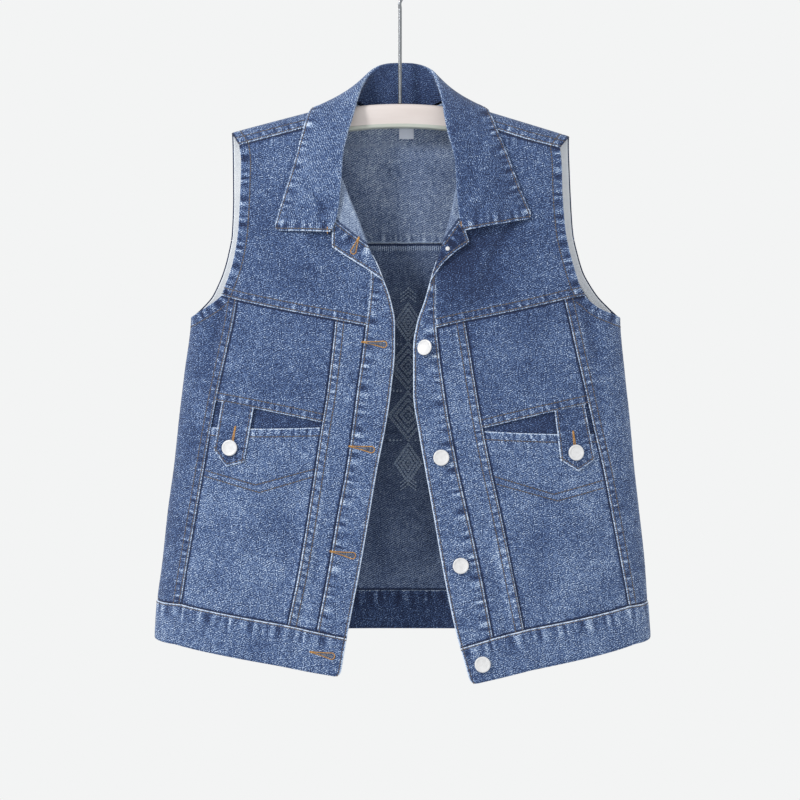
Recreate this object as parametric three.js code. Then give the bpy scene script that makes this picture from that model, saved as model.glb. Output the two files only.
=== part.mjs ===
import * as THREE from 'three';

// A sleeveless denim vest, buttoned by hand and worn open, hanging on a flat arched hanger.
// Millimetres, +Z up, the wearer's front towards -Y. Left and right are as seen from the front.
// The origin is the inside top of the hook, where it rests on a rail.
// The cloth is one smooth form, front and back, and each sewn piece is a wall cut out of it
// between its own seams.

// Cloth and sewing
const CLOTH = 1.5;
const SEAM_GAP = 0.3;
const PLACKET = { lift: 0.5, wall: 2.4 };
const BAND = { lift: 0.7, wall: 2.9, sag: { side: 0.5, pocket: -1 } };
const PANEL_SAG = -2;
const MOUTH_SAG = 1.5;
const UNDER = -CLOTH - 2 * SEAM_GAP;
const TAB_LIFT = 1.9;
const COLLAR_WALL = 2;
const STAND_WALL = 1.4;
const FACING = { wall: 0.9, width: 11, top: -203, bottom: -374 };
const TAPE_WALL = 0.6;

// Buttons and hanger
const BUTTON = { radius: 8.5, thick: 2.4, rim: 0.8, shank: 4, neck: 1.1 };
const HIDDEN_BUTTON = { radius: 8.5, thick: 1.8, rim: 0.5, shank: 4, neck: 0.4 };
const BUTTON_SIDES = 12;
const BAR = {
  halfLength: 150, halfThick: 6, height: 26, archTop: -157.2, archDrop: 0.00115, seat: 1.1, sections: 18,
};
const BAR_END = { drop: 1, thin: 0.75, low: 0.92 };
const WIRE = { radius: 2, sides: 5, steps: 32 };
const HOOK = { radius: 18, turn: 1.15 * Math.PI, points: 8, stem: [-110, -70, -55, -47] };

// The shoulder line falls away from the neck; its slope differs a little from side to side
const SHOULDER = { x: 93, z: -165, round: 30, left: 0.27, right: 0.31 };

// How far the front and back stand off the middle plane. 'fall' is the square root of the
// height below the shoulder line, so that the cloth turns over the shoulder in a round curve.
const DEPTH = table(['fall', 'front', 'back'], [
  [0, 0, 0],
  [2, 8.6, 9.8],
  [4, 15.5, 17.6],
  [6.3, 21.8, 23.4],
  [9.5, 29, 28.4],
  [12.6, 35, 31],
  [15, 39.6, 32.6],
  [18.2, 44, 33.2],
  [21.2, 47.5, 33],
  [24.3, 50, 32.4],
  [26.5, 51.4, 32],
]);
const SIDE_ROUNDING = 3;

// Half widths of the body at each height; above the armpit they only shape the depth
const WIDTH = table(['z', 'left', 'right'], [
  [-160, 245, 246],
  [-300, 245, 246],
  [-345, 238, 243],
  [-388, 226, 238],
  [-449, 233, 243],
  [-495, 238.5, 248],
  [-547, 244, 252.7],
  [-594, 250.5, 258],
  [-654, 257, 264.5],
  [-692, 262, 267],
  [-732, 264.5, 270],
  [-800, 268, 273],
]);

// Upright seams of each front: distance from the middle at each height
const LEFT_SEAMS = table(['z', 'outer', 'inner', 'placket', 'edge'], [
  [-317, 165, 60, 33, 32],
  [-333, 168, 62, 31.5, 23.5],
  [-350, 170, 64, 31, 17],
  [-370, 174, 66, 32.5, 10],
  [-395, 178.5, 68.5, 35.5, 5.4],
  [-420, 184, 71, 38.5, 5.3],
  [-470, 195, 77, 45.5, 9.8],
  [-510, 202.5, 83.5, 50.5, 16],
  [-550, 209.5, 89.5, 56.5, 24],
  [-600, 218, 97, 66, 32.5],
  [-660, 228.5, 107, 76, 43],
  [-720, 238, 119.5, 87.5, 54.5],
  [-775, 245, 130, 98, 64],
]);
const RIGHT_SEAMS = table(['z', 'outer', 'inner', 'placket', 'edge'], [
  [-317, 160, 60, 45, 44],
  [-333, 165, 62, 41, 37],
  [-350, 170, 64, 38.5, 32],
  [-370, 175.5, 66, 38, 26.5],
  [-395, 181.5, 69, 38.3, 18],
  [-420, 187, 73, 40.5, 14],
  [-470, 198.5, 81, 47, 14],
  [-510, 207.5, 88, 53.5, 19.5],
  [-550, 217, 96, 61, 26.5],
  [-600, 226.5, 107, 72, 35.5],
  [-660, 238, 119, 85, 46],
  [-720, 249, 131, 96.5, 58.5],
  [-775, 257, 141, 107, 74],
]);

// Heights of the crossing seams where each upright seam meets them
const LEFT_LEVELS = table(['seam', 'side', 'outer', 'inner', 'placket', 'edge'], [
  ['yoke', -365, -370, -391.5, -398, -398],
  ['panel', 0, -478, -501, 0, 0],
  ['mouth', 0, -506, -506, 0, 0],
  ['band', -692, -695, -715.5, -722.5, -729],
  ['hem', -732, -738, -758.5, -764.5, -770],
]);
const RIGHT_LEVELS = table(['seam', 'side', 'outer', 'inner', 'placket', 'edge'], [
  ['yoke', -365, -369.5, -393, -400, -400],
  ['panel', 0, -481, -507, 0, 0],
  ['mouth', 0, -513, -510, 0, 0],
  ['band', -693, -697, -720.5, -729, -739.5],
  ['hem', -732, -738, -763, -771, -778],
]);

// Armhole edges: distance from the middle at each height, in front and behind
const LEFT_ARMHOLE = table(['z', 'front', 'back'], [
  [-186, 176, 182],
  [-203, 173, 182],
  [-222, 170.5, 182],
  [-252, 171, 182],
  [-295, 173, 183.5],
  [-320, 176.5, 188],
  [-338, 181, 193],
  [-353, 186.5, 199],
  [-365, 191.5, 205],
  [-377, 207, 215],
  [-388, 226, 226],
]);
const RIGHT_ARMHOLE = table(['z', 'front', 'back'], [
  [-186, 175, 183],
  [-203, 172, 183.5],
  [-222, 173.5, 184.5],
  [-252, 174, 186],
  [-295, 177, 189],
  [-320, 182, 194.5],
  [-338, 187, 200],
  [-353, 192, 208],
  [-365, 198, 216],
  [-377, 211, 227],
  [-388, 238, 238],
]);

// Inner edge of each front yoke: under the collar, along the fold, then down the placket seam
const LEFT_NECK = table(['z', 'x'], [
  [-173, 55],
  [-190, 59.5],
  [-221, 65],
  [-243, 61.5],
  [-262, 54.5],
  [-280, 47],
  [-299, 39],
  [-317, 33],
]);
const RIGHT_NECK = table(['z', 'x'], [
  [-173, 53],
  [-190, 55.5],
  [-221, 62],
  [-243, 61.5],
  [-262, 58],
  [-280, 54.5],
  [-299, 49],
  [-317, 45],
]);
const SHOULDER_SEAM = table(['x', 'left', 'right'], [
  [50, -172, -171],
  [107, -186, -188],
  [140, -194.5, -198],
  [173, -203, -206],
]);

// Turned-out top of each front: the yoke's wrong side, then the placket's facing, which lie on
// the yoke. 'fold' is the edge they turn at, 'seam' joins them, 'front' is the placket's edge.
const LEFT_LAPEL = table(['line', 'x1', 'z1', 'x2', 'z2', 'x3', 'z3', 'x4', 'z4'], [
  ['under', 66.5, -241, 71, -258, 73.5, -272, 72, -284],
  ['fold', 62.5, -241, 53.5, -264, 43.5, -288, 34.5, -313],
  ['seam', 72, -284, 60, -294, 45, -305.5, 34.5, -313],
  ['front', 72, -315, 56, -325.5, 38, -336.5, 18.5, -350],
]);
const RIGHT_LAPEL = table(['line', 'x1', 'z1', 'x2', 'z2', 'x3', 'z3', 'x4', 'z4'], [
  ['under', 65.5, -241, 69, -256, 69, -270, 64.5, -284],
  ['fold', 62, -241, 58, -264, 52, -288, 45.5, -311],
  ['seam', 64.5, -284, 59, -292, 52.5, -301, 45.5, -311],
  ['front', 73.5, -310, 59, -320, 45.5, -332.5, 33.5, -349],
]);
// Outer face of the turned part above the yoke: at the fold's top, at its foot, and at the free
// edge; the right one stands higher because a button is under it
const LAPEL_LIFT = {
  left: { top: 2.1, foot: 2.3, free: 4.6 },
  right: { top: 2.1, foot: 5, free: 6 },
};

// Collar, from the middle of the back to the front end. The neck seam and the leaf's outer
// edge lie on the body, at x and fall (negative behind the shoulder line); the fold between
// them stands off it, in x, y and z.
const COLLAR_COLUMNS = ['neckX', 'neckFall', 'foldX', 'foldY', 'foldZ', 'leafX', 'leafFall'];
const LEFT_COLLAR = table(COLLAR_COLUMNS, [
  [0, -4, 0, 23, -112, 0, -5.7],
  [14, -3.9, 13, 22, -112.4, 28, -5.4],
  [28, -3.4, 25, 18.5, -114.5, 54, -4.7],
  [43, -2.3, 36, 10, -123, 78, -3.3],
  [52.5, -0.6, 43, -3, -137, 92, -0.8],
  [55.5, 2.4, 48.5, -16, -157, 100, 2.8],
  [58, 4.6, 53, -25, -176, 105, 5],
  [60.5, 5.9, 57.5, -30, -193, 110, 6.6],
  [64.5, 7.8, 62.5, -34.5, -220, 117, 8.1],
  [66.5, 9.5, 64, -37, -248, 124, 9.3],
  [70, 11.1, 68, -39.5, -281, 131, 10.4],
  [77.5, 11.8, 75, -40.5, -298.5, 134.5, 11],
]);
const RIGHT_COLLAR = table(COLLAR_COLUMNS, [
  [0, -4, 0, 23, -112, 0, -5.7],
  [14, -3.9, 13, 22, -112.2, 28, -5.4],
  [28, -3.4, 25.5, 18.5, -114, 53, -4.7],
  [43, -2.3, 38, 10, -121.5, 76, -3.3],
  [51, -0.6, 43, -3, -136, 90, -0.8],
  [54, 2.4, 47.5, -16, -157, 98, 2.6],
  [56, 4.6, 50, -25, -176, 104, 4.5],
  [58, 5.9, 53, -30, -193, 110, 5.7],
  [63, 7.8, 60, -34.5, -221, 119, 7.3],
  [64.5, 9.5, 61.5, -38.5, -248, 128, 8.7],
  [67, 11.1, 64, -42.8, -281, 137, 9.7],
  [72.5, 11.7, 70, -45, -297, 141.5, 10.2],
]);
const LEAF_LIFT = 3.1;
const LEAF_FULLNESS = 0.75;
const COLLAR_STEPS = 2;
const STAND_END = 13;
const STAND_INSIDE = 5;
const STAND_FOOT = 2.1;
const NECK_MIDDLE = -33;
// The back yoke's neck edge, from the shoulder seam's end round to the middle of the back
const NECK_FALLS = [1.6, -1, -2.6, -3.7, -4];

// Back: seams behind the shoulder blades and the level of the yoke seam
const BACK = {
  yoke: -303, yokeDip: 3, yokeHalf: 180, seamTop: 116, seamBottom: 102, band: -689, hem: -731,
  rise: 4, half: 265,
};

// Heights at which edges start and end: the armhole from the shoulder seam down to the armpit,
// the neck, the fold of the turned-out top and the placket below it
const ARMHOLE = { shoulderEnd: -204, backTop: -190, yokeEnd: -365, armpit: -388 };
const NECK = { top: -173, foldTop: -243, foldEnd: -317, placketTop: -321 };

// The uprights without a pocket change their grid steps at these shares of their length
const PLAIN_STOPS = { panel: 0.33, mouth: 0.37 };

// Flap tabs over the pocket mouths: corners from the inside top round to the outside top
const LEFT_TAB = table(['corner', 'x', 'z'], [
  ['innerFoot', 165, -543],
  ['tip', 184, -548],
  ['outerFoot', 198, -530],
  ['outerTop', 189, -478],
  ['innerTop', 155, -485],
]);
const RIGHT_TAB = table(['corner', 'x', 'z'], [
  ['innerFoot', 170, -541],
  ['tip', 189, -553],
  ['outerFoot', 207, -540],
  ['outerTop', 196, -482],
  ['innerTop', 164, -489],
]);
// The pocket's back: how deep it hangs below the mouth, how far it runs up behind the panel and,
// as a share of the width, behind the pieces beside it
const POCKET_FACING = { depth: 62, behind: 7, beside: 0.012, rows: 5 };

const BUTTONS = table(['name', 'x', 'z', 'lift'], [
  ['button_2', 28, -422, PLACKET.lift],
  ['button_3', 43.5, -538, PLACKET.lift],
  ['button_4', 64, -652, PLACKET.lift],
  ['button_5', 87, -756, BAND.lift],
  ['tab_button_left', -180, -528, 2],
  ['tab_button_right', 186, -533, 2],
]);
const HIDDEN_BUTTON_AT = { x: 54.5, z: -312, lift: 0.5 };

// Size tab under the hanger, sewn into the back neck and left bare
const SIZE_TAB = { x1: -1, x2: 15, top: -163, bottom: -192 };

// Largest soft folds: a ridge or trough (negative) along a slanted line on one face
const FOLDS = table(['face', 'x', 'z', 'lean', 'length', 'width', 'height'], [
  ['front', -204, -430, -0.1, 75, 10, -3.2],
  ['front', 213, -440, 0.12, 70, 11, -3],
  ['front', -110, -675, -0.2, 55, 6.5, 2.2],
  ['front', -99, -690, -0.2, 45, 5, -1.6],
  ['front', 122, -690, 0.2, 50, 7, 2.4],
  ['front', 108, -700, 0.2, 40, 5.5, -1.8],
  ['front', 96, -350, -0.35, 60, 15, -3.2],
  ['front', -120, -350, 0.25, 55, 20, -2],
  ['front', -165, -620, -0.12, 90, 20, 2.2],
  ['front', 180, -630, 0.12, 90, 22, 2.4],
  ['back', -60, -470, -0.08, 130, 22, 2.6],
  ['back', 78, -520, 0.1, 140, 24, 2.8],
  ['back', 10, -600, 0.02, 90, 18, -2],
  ['back', -150, -600, -0.15, 100, 16, -2.4],
  ['back', 160, -560, 0.15, 110, 18, -2.2],
]);

const SIDES = ['left', 'right'];
const FRONTS = {
  left: {
    sign: -1, seams: LEFT_SEAMS, levels: LEFT_LEVELS, armhole: LEFT_ARMHOLE, neck: LEFT_NECK,
    lapel: LEFT_LAPEL, tab: LEFT_TAB, collar: LEFT_COLLAR,
  },
  right: {
    sign: 1, seams: RIGHT_SEAMS, levels: RIGHT_LEVELS, armhole: RIGHT_ARMHOLE, neck: RIGHT_NECK,
    lapel: RIGHT_LAPEL, tab: RIGHT_TAB, collar: RIGHT_COLLAR,
  },
};

// Grid steps along the seams, shared by the pieces on both sides of each seam
const STEPS = {
  armpit: 5, yokeSide: 2, pocket: 5, strip: 2, placket: 2,
  neck: 4, fold: 4, lapelSeam: 4, upper: 4, wedge: 1, lower: 8, band: 2, lapel: 6, lapelEnd: 4,
  tabTop: 4, tabFoot: 2, backNeck: 5, backSide: 5, backArmpit: 6, backRows: 7, overShoulder: 3,
  bodyRows: 8, leaf: 6, stand: 2, facing: 12, facingWidth: 2, sizeTab: 5, sizeTabWidth: 2,
};
const YOKE_COLUMNS = STEPS.yokeSide + STEPS.pocket + STEPS.strip;

const COLOR = {
  light: 0x6f86ab, mid: 0x5b7096, dark: 0x43557a, facing: 0xe6e2da, tab: 0xd9dbe2,
  button: 0xebe8e3, bar: 0xd9cdc4, wire: 0xb9bcc0,
};

function table(columns, rows) {
  return rows.map((row) => Object.fromEntries(columns.map((name, i) => [name, row[i]])));
}

// Smooth interpolation in a table: cubic between rows, with slopes that never overshoot
function smooth(rows, key, column) {
  const points = rows.map((row) => [row[key], row[column]]).sort((a, b) => a[0] - b[0]);
  const step = points.slice(1).map((p, i) => (p[1] - points[i][1]) / (p[0] - points[i][0]));
  const slope = points.map((p, i) => {
    if (i === 0) return step[0];
    if (i === points.length - 1) return step[i - 1];
    return step[i - 1] * step[i] <= 0 ? 0 : (2 * step[i - 1] * step[i]) / (step[i - 1] + step[i]);
  });
  return (at) => {
    const last = points.length - 2;
    let i = points.findIndex((p) => p[0] > at) - 1;
    if (i < 0) i = at < points[0][0] ? 0 : last;
    const [x0, y0] = points[i];
    const [x1, y1] = points[i + 1];
    if (at <= x0) return y0 + slope[i] * (at - x0);
    if (at >= x1) return y1 + slope[i + 1] * (at - x1);
    const h = x1 - x0;
    const u = (at - x0) / h;
    return y0 * (1 + 2 * u) * (1 - u) ** 2 + h * slope[i] * u * (1 - u) ** 2
      + y1 * u * u * (3 - 2 * u) + h * slope[i + 1] * u * u * (u - 1);
  };
}

const frontDepth = smooth(DEPTH, 'fall', 'front');
const backDepth = smooth(DEPTH, 'fall', 'back');
const leftWidth = smooth(WIDTH, 'z', 'left');
const rightWidth = smooth(WIDTH, 'z', 'right');
const halfWidth = (sign, z) => (sign < 0 ? leftWidth(z) : rightWidth(z));

function shoulderHeight(x) {
  const slope = lerp(SHOULDER.left, SHOULDER.right, 0.5 + 0.5 * Math.tanh(x / SHOULDER.round));
  const reach = Math.hypot(SHOULDER.x, SHOULDER.round);
  return SHOULDER.z + slope * (reach - Math.hypot(x, SHOULDER.round));
}

function foldHeight(face, x, z) {
  return FOLDS.filter((fold) => fold.face === face).reduce((sum, fold) => {
    const along = z - fold.z;
    const across = x - fold.x + fold.lean * along;
    return sum + fold.height * Math.exp(-((across / fold.width) ** 2) - (along / fold.length) ** 2);
  }, 0);
}

// A point of the body. Across, x = half width * sin(90 degrees * t), so t = 1 is the side
// seam; y is the depth at that height, rounded off towards the side.
function bodyPoint(face, sign, t, z) {
  const s = Math.sin((Math.PI / 2) * t);
  const x = sign * halfWidth(sign, z) * s;
  const fall = Math.sqrt(Math.max(shoulderHeight(x) - z, 0));
  const rounding = Math.sqrt(Math.max(1 - Math.abs(s) ** SIDE_ROUNDING, 0));
  const depth = face === 'front' ? frontDepth(fall) : backDepth(fall);
  const out = depth * rounding + foldHeight(face, x, z) * rounding;
  return new THREE.Vector3(x, face === 'front' ? -out : out, z);
}

// A point of the cloth over the shoulders: x across, fall down the front, negative behind
function shoulderPoint(x, fall) {
  const z = shoulderHeight(x) - fall * fall;
  const share = Math.abs(x) / halfWidth(Math.sign(x) || 1, z);
  const rounding = Math.sqrt(Math.max(1 - share ** SIDE_ROUNDING, 0));
  const face = fall > 0 ? 'front' : 'back';
  const depth = face === 'front' ? frontDepth(fall) : backDepth(-fall);
  const fold = foldHeight(face, x, z) * Math.min(Math.abs(fall) / 6, 1);
  const out = (depth + fold) * rounding;
  return new THREE.Vector3(x, face === 'front' ? -out : out, z);
}

function across(sign, x, z) {
  return (2 / Math.PI) * Math.asin(Math.min(Math.abs(x) / halfWidth(sign, z), 1));
}

// A point of the back at x and z
function plainPoint(x, z) {
  const sign = x < 0 ? -1 : 1;
  return bodyPoint('back', sign, across(sign, x, z), z);
}

const fallAt = (x, z) => Math.sqrt(Math.max(shoulderHeight(x) - z, 0));
const lerp = (a, b, u) => a + (b - a) * u;
const mix = (p, q, u) => p.map((value, k) => lerp(value, q[k], u));
const range = (n) => Array.from({ length: n + 1 }, (_, i) => i / n);
const chain = (...parts) => parts.reduce((all, part) => all.concat(part.slice(1)));

// Closed wall between two grids of points, rows along the first index
function wallGeometry(outer, inner) {
  const rows = outer.length;
  const columns = outer[0].length;
  const positions = [outer, inner].flat(2).flatMap((p) => [p.x, p.y, p.z]);
  const at = (layer, j, i) => layer * rows * columns + j * columns + i;
  const index = [];
  const quad = (a, b, c, d) => index.push(a, b, c, a, c, d);
  for (let j = 0; j < rows - 1; j++) {
    for (let i = 0; i < columns - 1; i++) {
      quad(at(0, j, i), at(0, j + 1, i), at(0, j + 1, i + 1), at(0, j, i + 1));
      quad(at(1, j, i), at(1, j, i + 1), at(1, j + 1, i + 1), at(1, j + 1, i));
    }
  }
  for (let i = 0; i < columns - 1; i++) {
    quad(at(0, 0, i), at(0, 0, i + 1), at(1, 0, i + 1), at(1, 0, i));
    quad(at(0, rows - 1, i + 1), at(0, rows - 1, i), at(1, rows - 1, i), at(1, rows - 1, i + 1));
  }
  for (let j = 0; j < rows - 1; j++) {
    quad(at(0, j + 1, 0), at(0, j, 0), at(1, j, 0), at(1, j + 1, 0));
    quad(at(0, j, columns - 1), at(0, j + 1, columns - 1), at(1, j + 1, columns - 1), at(1, j, columns - 1));
  }
  return facingOut(positions, index);
}

// Turns the triangles over where the solid's signed volume comes out negative
function facingOut(positions, index) {
  const corner = (k) => new THREE.Vector3().fromArray(positions, 3 * index[k]);
  let volume = 0;
  for (let k = 0; k < index.length; k += 3) {
    volume += corner(k).dot(corner(k + 1).cross(corner(k + 2)));
  }
  const geometry = new THREE.BufferGeometry();
  geometry.setAttribute('position', new THREE.Float32BufferAttribute(positions, 3));
  geometry.setIndex(volume > 0 ? index : index.slice().reverse());
  geometry.computeVertexNormals();
  return geometry;
}

// Points inside four edges: each is the two blends between opposite edges less the corners' own
function fillGrid({ top, bottom, left, right }) {
  const columns = top.length - 1;
  const rows = left.length - 1;
  return left.map((_, j) => top.map((__, i) => {
    const u = i / columns;
    const v = j / rows;
    return [0, 1].map((k) => lerp(top[i][k], bottom[i][k], v) + lerp(left[j][k], right[j][k], u)
      - lerp(lerp(top[0][k], top[columns][k], u), lerp(bottom[0][k], bottom[columns][k], u), v));
  }));
}

// Direction square to the cloth at a grid point, from the surface's two slopes. At the side
// seam, where the form turns back, the slope across is taken from the inner side only.
function outward(point, a, b) {
  const [step, rise] = [0.002, 0.12];
  const [low, high] = Math.abs(a) > 1 - step ? [a - 2 * step * Math.sign(a), a] : [a - step, a + step];
  const slopeAcross = point(high, b).sub(point(low, b));
  const slopeAlong = point(a, b + rise).sub(point(a, b - rise));
  return slopeAcross.cross(slopeAlong).normalize();
}

// Draws the outermost rows and columns in by half a seam gap
function drawIn(grid) {
  const rows = grid.length - 1;
  const columns = grid[0].length - 1;
  const pull = (edge, inside) => edge.clone().add(
    inside.clone().sub(edge).normalize().multiplyScalar(SEAM_GAP / 2));
  const narrowed = grid.map((row) => [
    pull(row[0], row[1]), ...row.slice(1, columns), pull(row[columns], row[columns - 1])]);
  return narrowed.map((row, j) => row.map((p, i) => {
    if (j === 0) return pull(p, narrowed[1][i]);
    if (j === rows) return pull(p, narrowed[rows - 1][i]);
    return p;
  }));
}

// A sewn piece: the part of the cloth inside four edges, lifted off the form and given a wall
function clothPiece(point, side, edges, lift = 0, wall = CLOTH) {
  const grid = fillGrid(edges);
  const base = drawIn(grid.map((row) => row.map(([a, b]) => point(a, b))));
  const normals = grid.map((row) => row.map(([a, b]) => {
    const n = outward(point, a, b);
    return n.dot(side(point(a, b))) < 0 ? n.negate() : n;
  }));
  const rows = grid.length - 1;
  const columns = grid[0].length - 1;
  const lifted = (drop) => base.map((row, j) => row.map((p, i) => {
    const rise = typeof lift === 'function' ? lift(i / columns, j / rows) : lift;
    return p.clone().addScaledVector(normals[j][i], rise - drop);
  }));
  return wallGeometry(lifted(0), lifted(wall));
}

const awayFromMiddle = (p) => new THREE.Vector3(p.x * 0.2, p.y * 4, 0);
const awayFromShoulder = (p) => new THREE.Vector3(0, p.y, 14);

function material(color, roughness = 0.9, metalness = 0) {
  return new THREE.MeshStandardMaterial({ color, roughness, metalness });
}

const vest = new THREE.Group();
vest.name = 'vest';

function add(name, geometry, color, roughness, metalness) {
  const mesh = new THREE.Mesh(geometry, material(color, roughness, metalness));
  mesh.name = name;
  vest.add(mesh);
}

// Lines of one front, each a list of [t, z] pairs
function frontLines(front) {
  const { sign, levels } = front;
  const place = (x, z) => [across(sign, x, z), z];
  const seam = Object.fromEntries(['outer', 'inner', 'placket', 'edge'].map(
    (name) => [name, smooth(front.seams, 'z', name)]));
  const level = Object.fromEntries(levels.map((row) => [row.seam, row]));
  const upright = (name, from, to, steps) => range(steps).map((u) => {
    const z = lerp(from, to, u);
    return place(seam[name](z), z);
  });
  const crossing = (row, from, to, steps, sag = 0) => {
    const ends = [from, to].map((name) => (
      name === 'side' ? [1, row.side] : place(seam[name](row[name]), row[name])));
    return range(steps).map((u) => {
      const [t, z] = mix(ends[0], ends[1], u);
      return [t, z - sag * 4 * u * (1 - u)];
    });
  };
  return { place, seam, level, upright, crossing };
}

function armholeEdge(front, column, from, to, steps) {
  const edge = smooth(front.armhole, 'z', column);
  return range(steps).map((u) => {
    const z = lerp(from, to, u);
    return [across(front.sign, edge(z), z), z];
  });
}

const blendTo = (from, to, steps) => range(steps).map((u) => mix(from, to, u));

function addFront(side) {
  const front = FRONTS[side];
  const lines = frontLines(front);
  const { place, level, upright, crossing } = lines;
  const { sign } = front;
  const point = (t, z) => bodyPoint('front', sign, t, z);
  const piece = (name, edges, color, lift, wall) => {
    add(`${name}_${side}`, clothPiece(point, awayFromMiddle, edges, lift, wall), color);
  };

  const neck = smooth(front.neck, 'z', 'x');
  const shoulder = smooth(SHOULDER_SEAM, 'x', side);
  const shoulderEnd = smooth(front.armhole, 'z', 'front')(ARMHOLE.shoulderEnd);
  const shoulderLine = range(YOKE_COLUMNS).map((u) => {
    const x = lerp(shoulderEnd, neck(NECK.top), u);
    return place(x, shoulder(x));
  });
  const neckLine = (from, to, steps) => range(steps).map((u) => {
    const z = lerp(from, to, u);
    return place(neck(z), z);
  });

  const yokeOuter = armholeEdge(front, 'front', ARMHOLE.yokeEnd, ARMHOLE.armpit, 1)[0];
  const yokeCorner = place(lines.seam.outer(level.yoke.outer), level.yoke.outer);
  const yokeSide = blendTo(yokeOuter, yokeCorner, STEPS.yokeSide);
  const yokePocket = crossing(level.yoke, 'outer', 'inner', STEPS.pocket);
  const yokeStrip = crossing(level.yoke, 'inner', 'placket', STEPS.strip);
  const neckEdge = chain(
    [shoulderLine[YOKE_COLUMNS], ...neckLine(NECK.top, NECK.foldTop, STEPS.neck).slice(1)],
    neckLine(NECK.foldTop, NECK.foldEnd, STEPS.fold),
    upright('placket', NECK.foldEnd, level.yoke.placket, STEPS.lapelSeam));
  const armhole = armholeEdge(
    front, 'front', shoulderLine[0][1], ARMHOLE.yokeEnd, neckEdge.length - 1);
  armhole[0] = shoulderLine[0];
  piece('front_yoke', {
    top: shoulderLine, bottom: chain(yokeSide, yokePocket, yokeStrip), left: armhole, right: neckEdge,
  }, COLOR.mid);

  // An upright seam from the yoke to the hem band, past the pocket panel's foot and the mouth
  const down = (name) => {
    const { yoke, band } = level;
    const stop = (row) => level[row][name] || lerp(yoke[name], band[name], PLAIN_STOPS[row]);
    const stops = [yoke[name], stop('panel'), stop('mouth'), band[name]];
    return chain(...[STEPS.upper, STEPS.wedge, STEPS.lower].map(
      (steps, i) => upright(name, stops[i], stops[i + 1], steps)));
  };
  const [outer, inner, placketSeam] = ['outer', 'inner', 'placket'].map(down);
  const acrossBand = (row) => [
    crossing(row, 'side', 'outer', STEPS.armpit + STEPS.yokeSide, BAND.sag.side),
    crossing(row, 'outer', 'inner', STEPS.pocket, BAND.sag.pocket),
    crossing(row, 'inner', 'placket', STEPS.strip),
    crossing(row, 'placket', 'edge', STEPS.placket)];
  const [bandSide, bandPocket, bandStrip, bandPlacket] = acrossBand(level.band);

  const armpit = armholeEdge(front, 'front', ARMHOLE.armpit, ARMHOLE.yokeEnd, STEPS.armpit);
  armpit[0] = [1, ARMHOLE.armpit];
  piece('side_front', {
    top: chain(armpit, yokeSide), bottom: bandSide,
    left: blendTo(armpit[0], [1, level.band.side], outer.length - 1), right: outer,
  }, COLOR.light);
  piece('front_strip', { top: yokeStrip, bottom: bandStrip, left: inner, right: placketSeam }, COLOR.light);

  const placketLine = chain(
    upright('placket', NECK.placketTop, level.yoke.placket, STEPS.lapelSeam), placketSeam);
  const edgeDown = chain(
    upright('edge', NECK.placketTop, level.yoke.edge, STEPS.lapelSeam),
    upright('edge', level.yoke.edge, level.band.edge, placketSeam.length - 1));
  piece('placket', {
    top: blendTo(placketLine[0], edgeDown[0], STEPS.placket), bottom: bandPlacket,
    left: placketLine, right: edgeDown,
  }, COLOR.light, PLACKET.lift, PLACKET.wall);

  const panelSeam = crossing(level.panel, 'outer', 'inner', STEPS.pocket, PANEL_SAG);
  const mouth = crossing(level.mouth, 'outer', 'inner', STEPS.pocket, MOUTH_SAG);
  const wedgeEnd = STEPS.upper + STEPS.wedge;
  piece('pocket_panel', {
    top: yokePocket, bottom: panelSeam,
    left: outer.slice(0, STEPS.upper + 1), right: inner.slice(0, STEPS.upper + 1),
  }, COLOR.mid);
  piece('pocket_front', {
    top: mouth, bottom: bandPocket, left: outer.slice(wedgeEnd), right: inner.slice(wedgeEnd),
  }, COLOR.mid);

  // The pocket's back: seen as a dark wedge above the mouth, and hidden behind the front below
  const { depth, behind, beside, rows } = POCKET_FACING;
  const widen = ([t, z], i) => [t + beside * (1 - 2 * i / STEPS.pocket), z];
  const facingTop = panelSeam.map(([t, z]) => [t, z + behind]).map(widen);
  const facingFoot = blendTo(
    [outer[wedgeEnd][0], level.mouth.outer - depth], [inner[wedgeEnd][0], level.mouth.inner - depth],
    STEPS.pocket).map(widen);
  piece('pocket_facing', {
    top: facingTop, bottom: facingFoot,
    left: blendTo(facingTop[0], facingFoot[0], rows),
    right: blendTo(facingTop[STEPS.pocket], facingFoot[STEPS.pocket], rows),
  }, COLOR.dark, UNDER, CLOTH);

  piece('hem_band', {
    top: chain(bandSide, bandPocket, bandStrip, bandPlacket), bottom: chain(...acrossBand(level.hem)),
    left: blendTo([1, level.band.side], [1, level.hem.side], STEPS.band),
    right: upright('edge', level.band.edge, level.hem.edge, STEPS.band),
  }, COLOR.light, BAND.lift, BAND.wall);

  addLapel(side, front, place, point);
  addTab(side, front, place, point);
}

// A line of a lapel table as [t, z] pairs on a smooth curve through its four points
function lapelLine(row, place, steps) {
  const curve = new THREE.CatmullRomCurve3(
    [1, 2, 3, 4].map((k) => new THREE.Vector3(row[`x${k}`], row[`z${k}`], 0)));
  return curve.getPoints(steps).map((p) => place(p.x, p.y));
}

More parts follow.
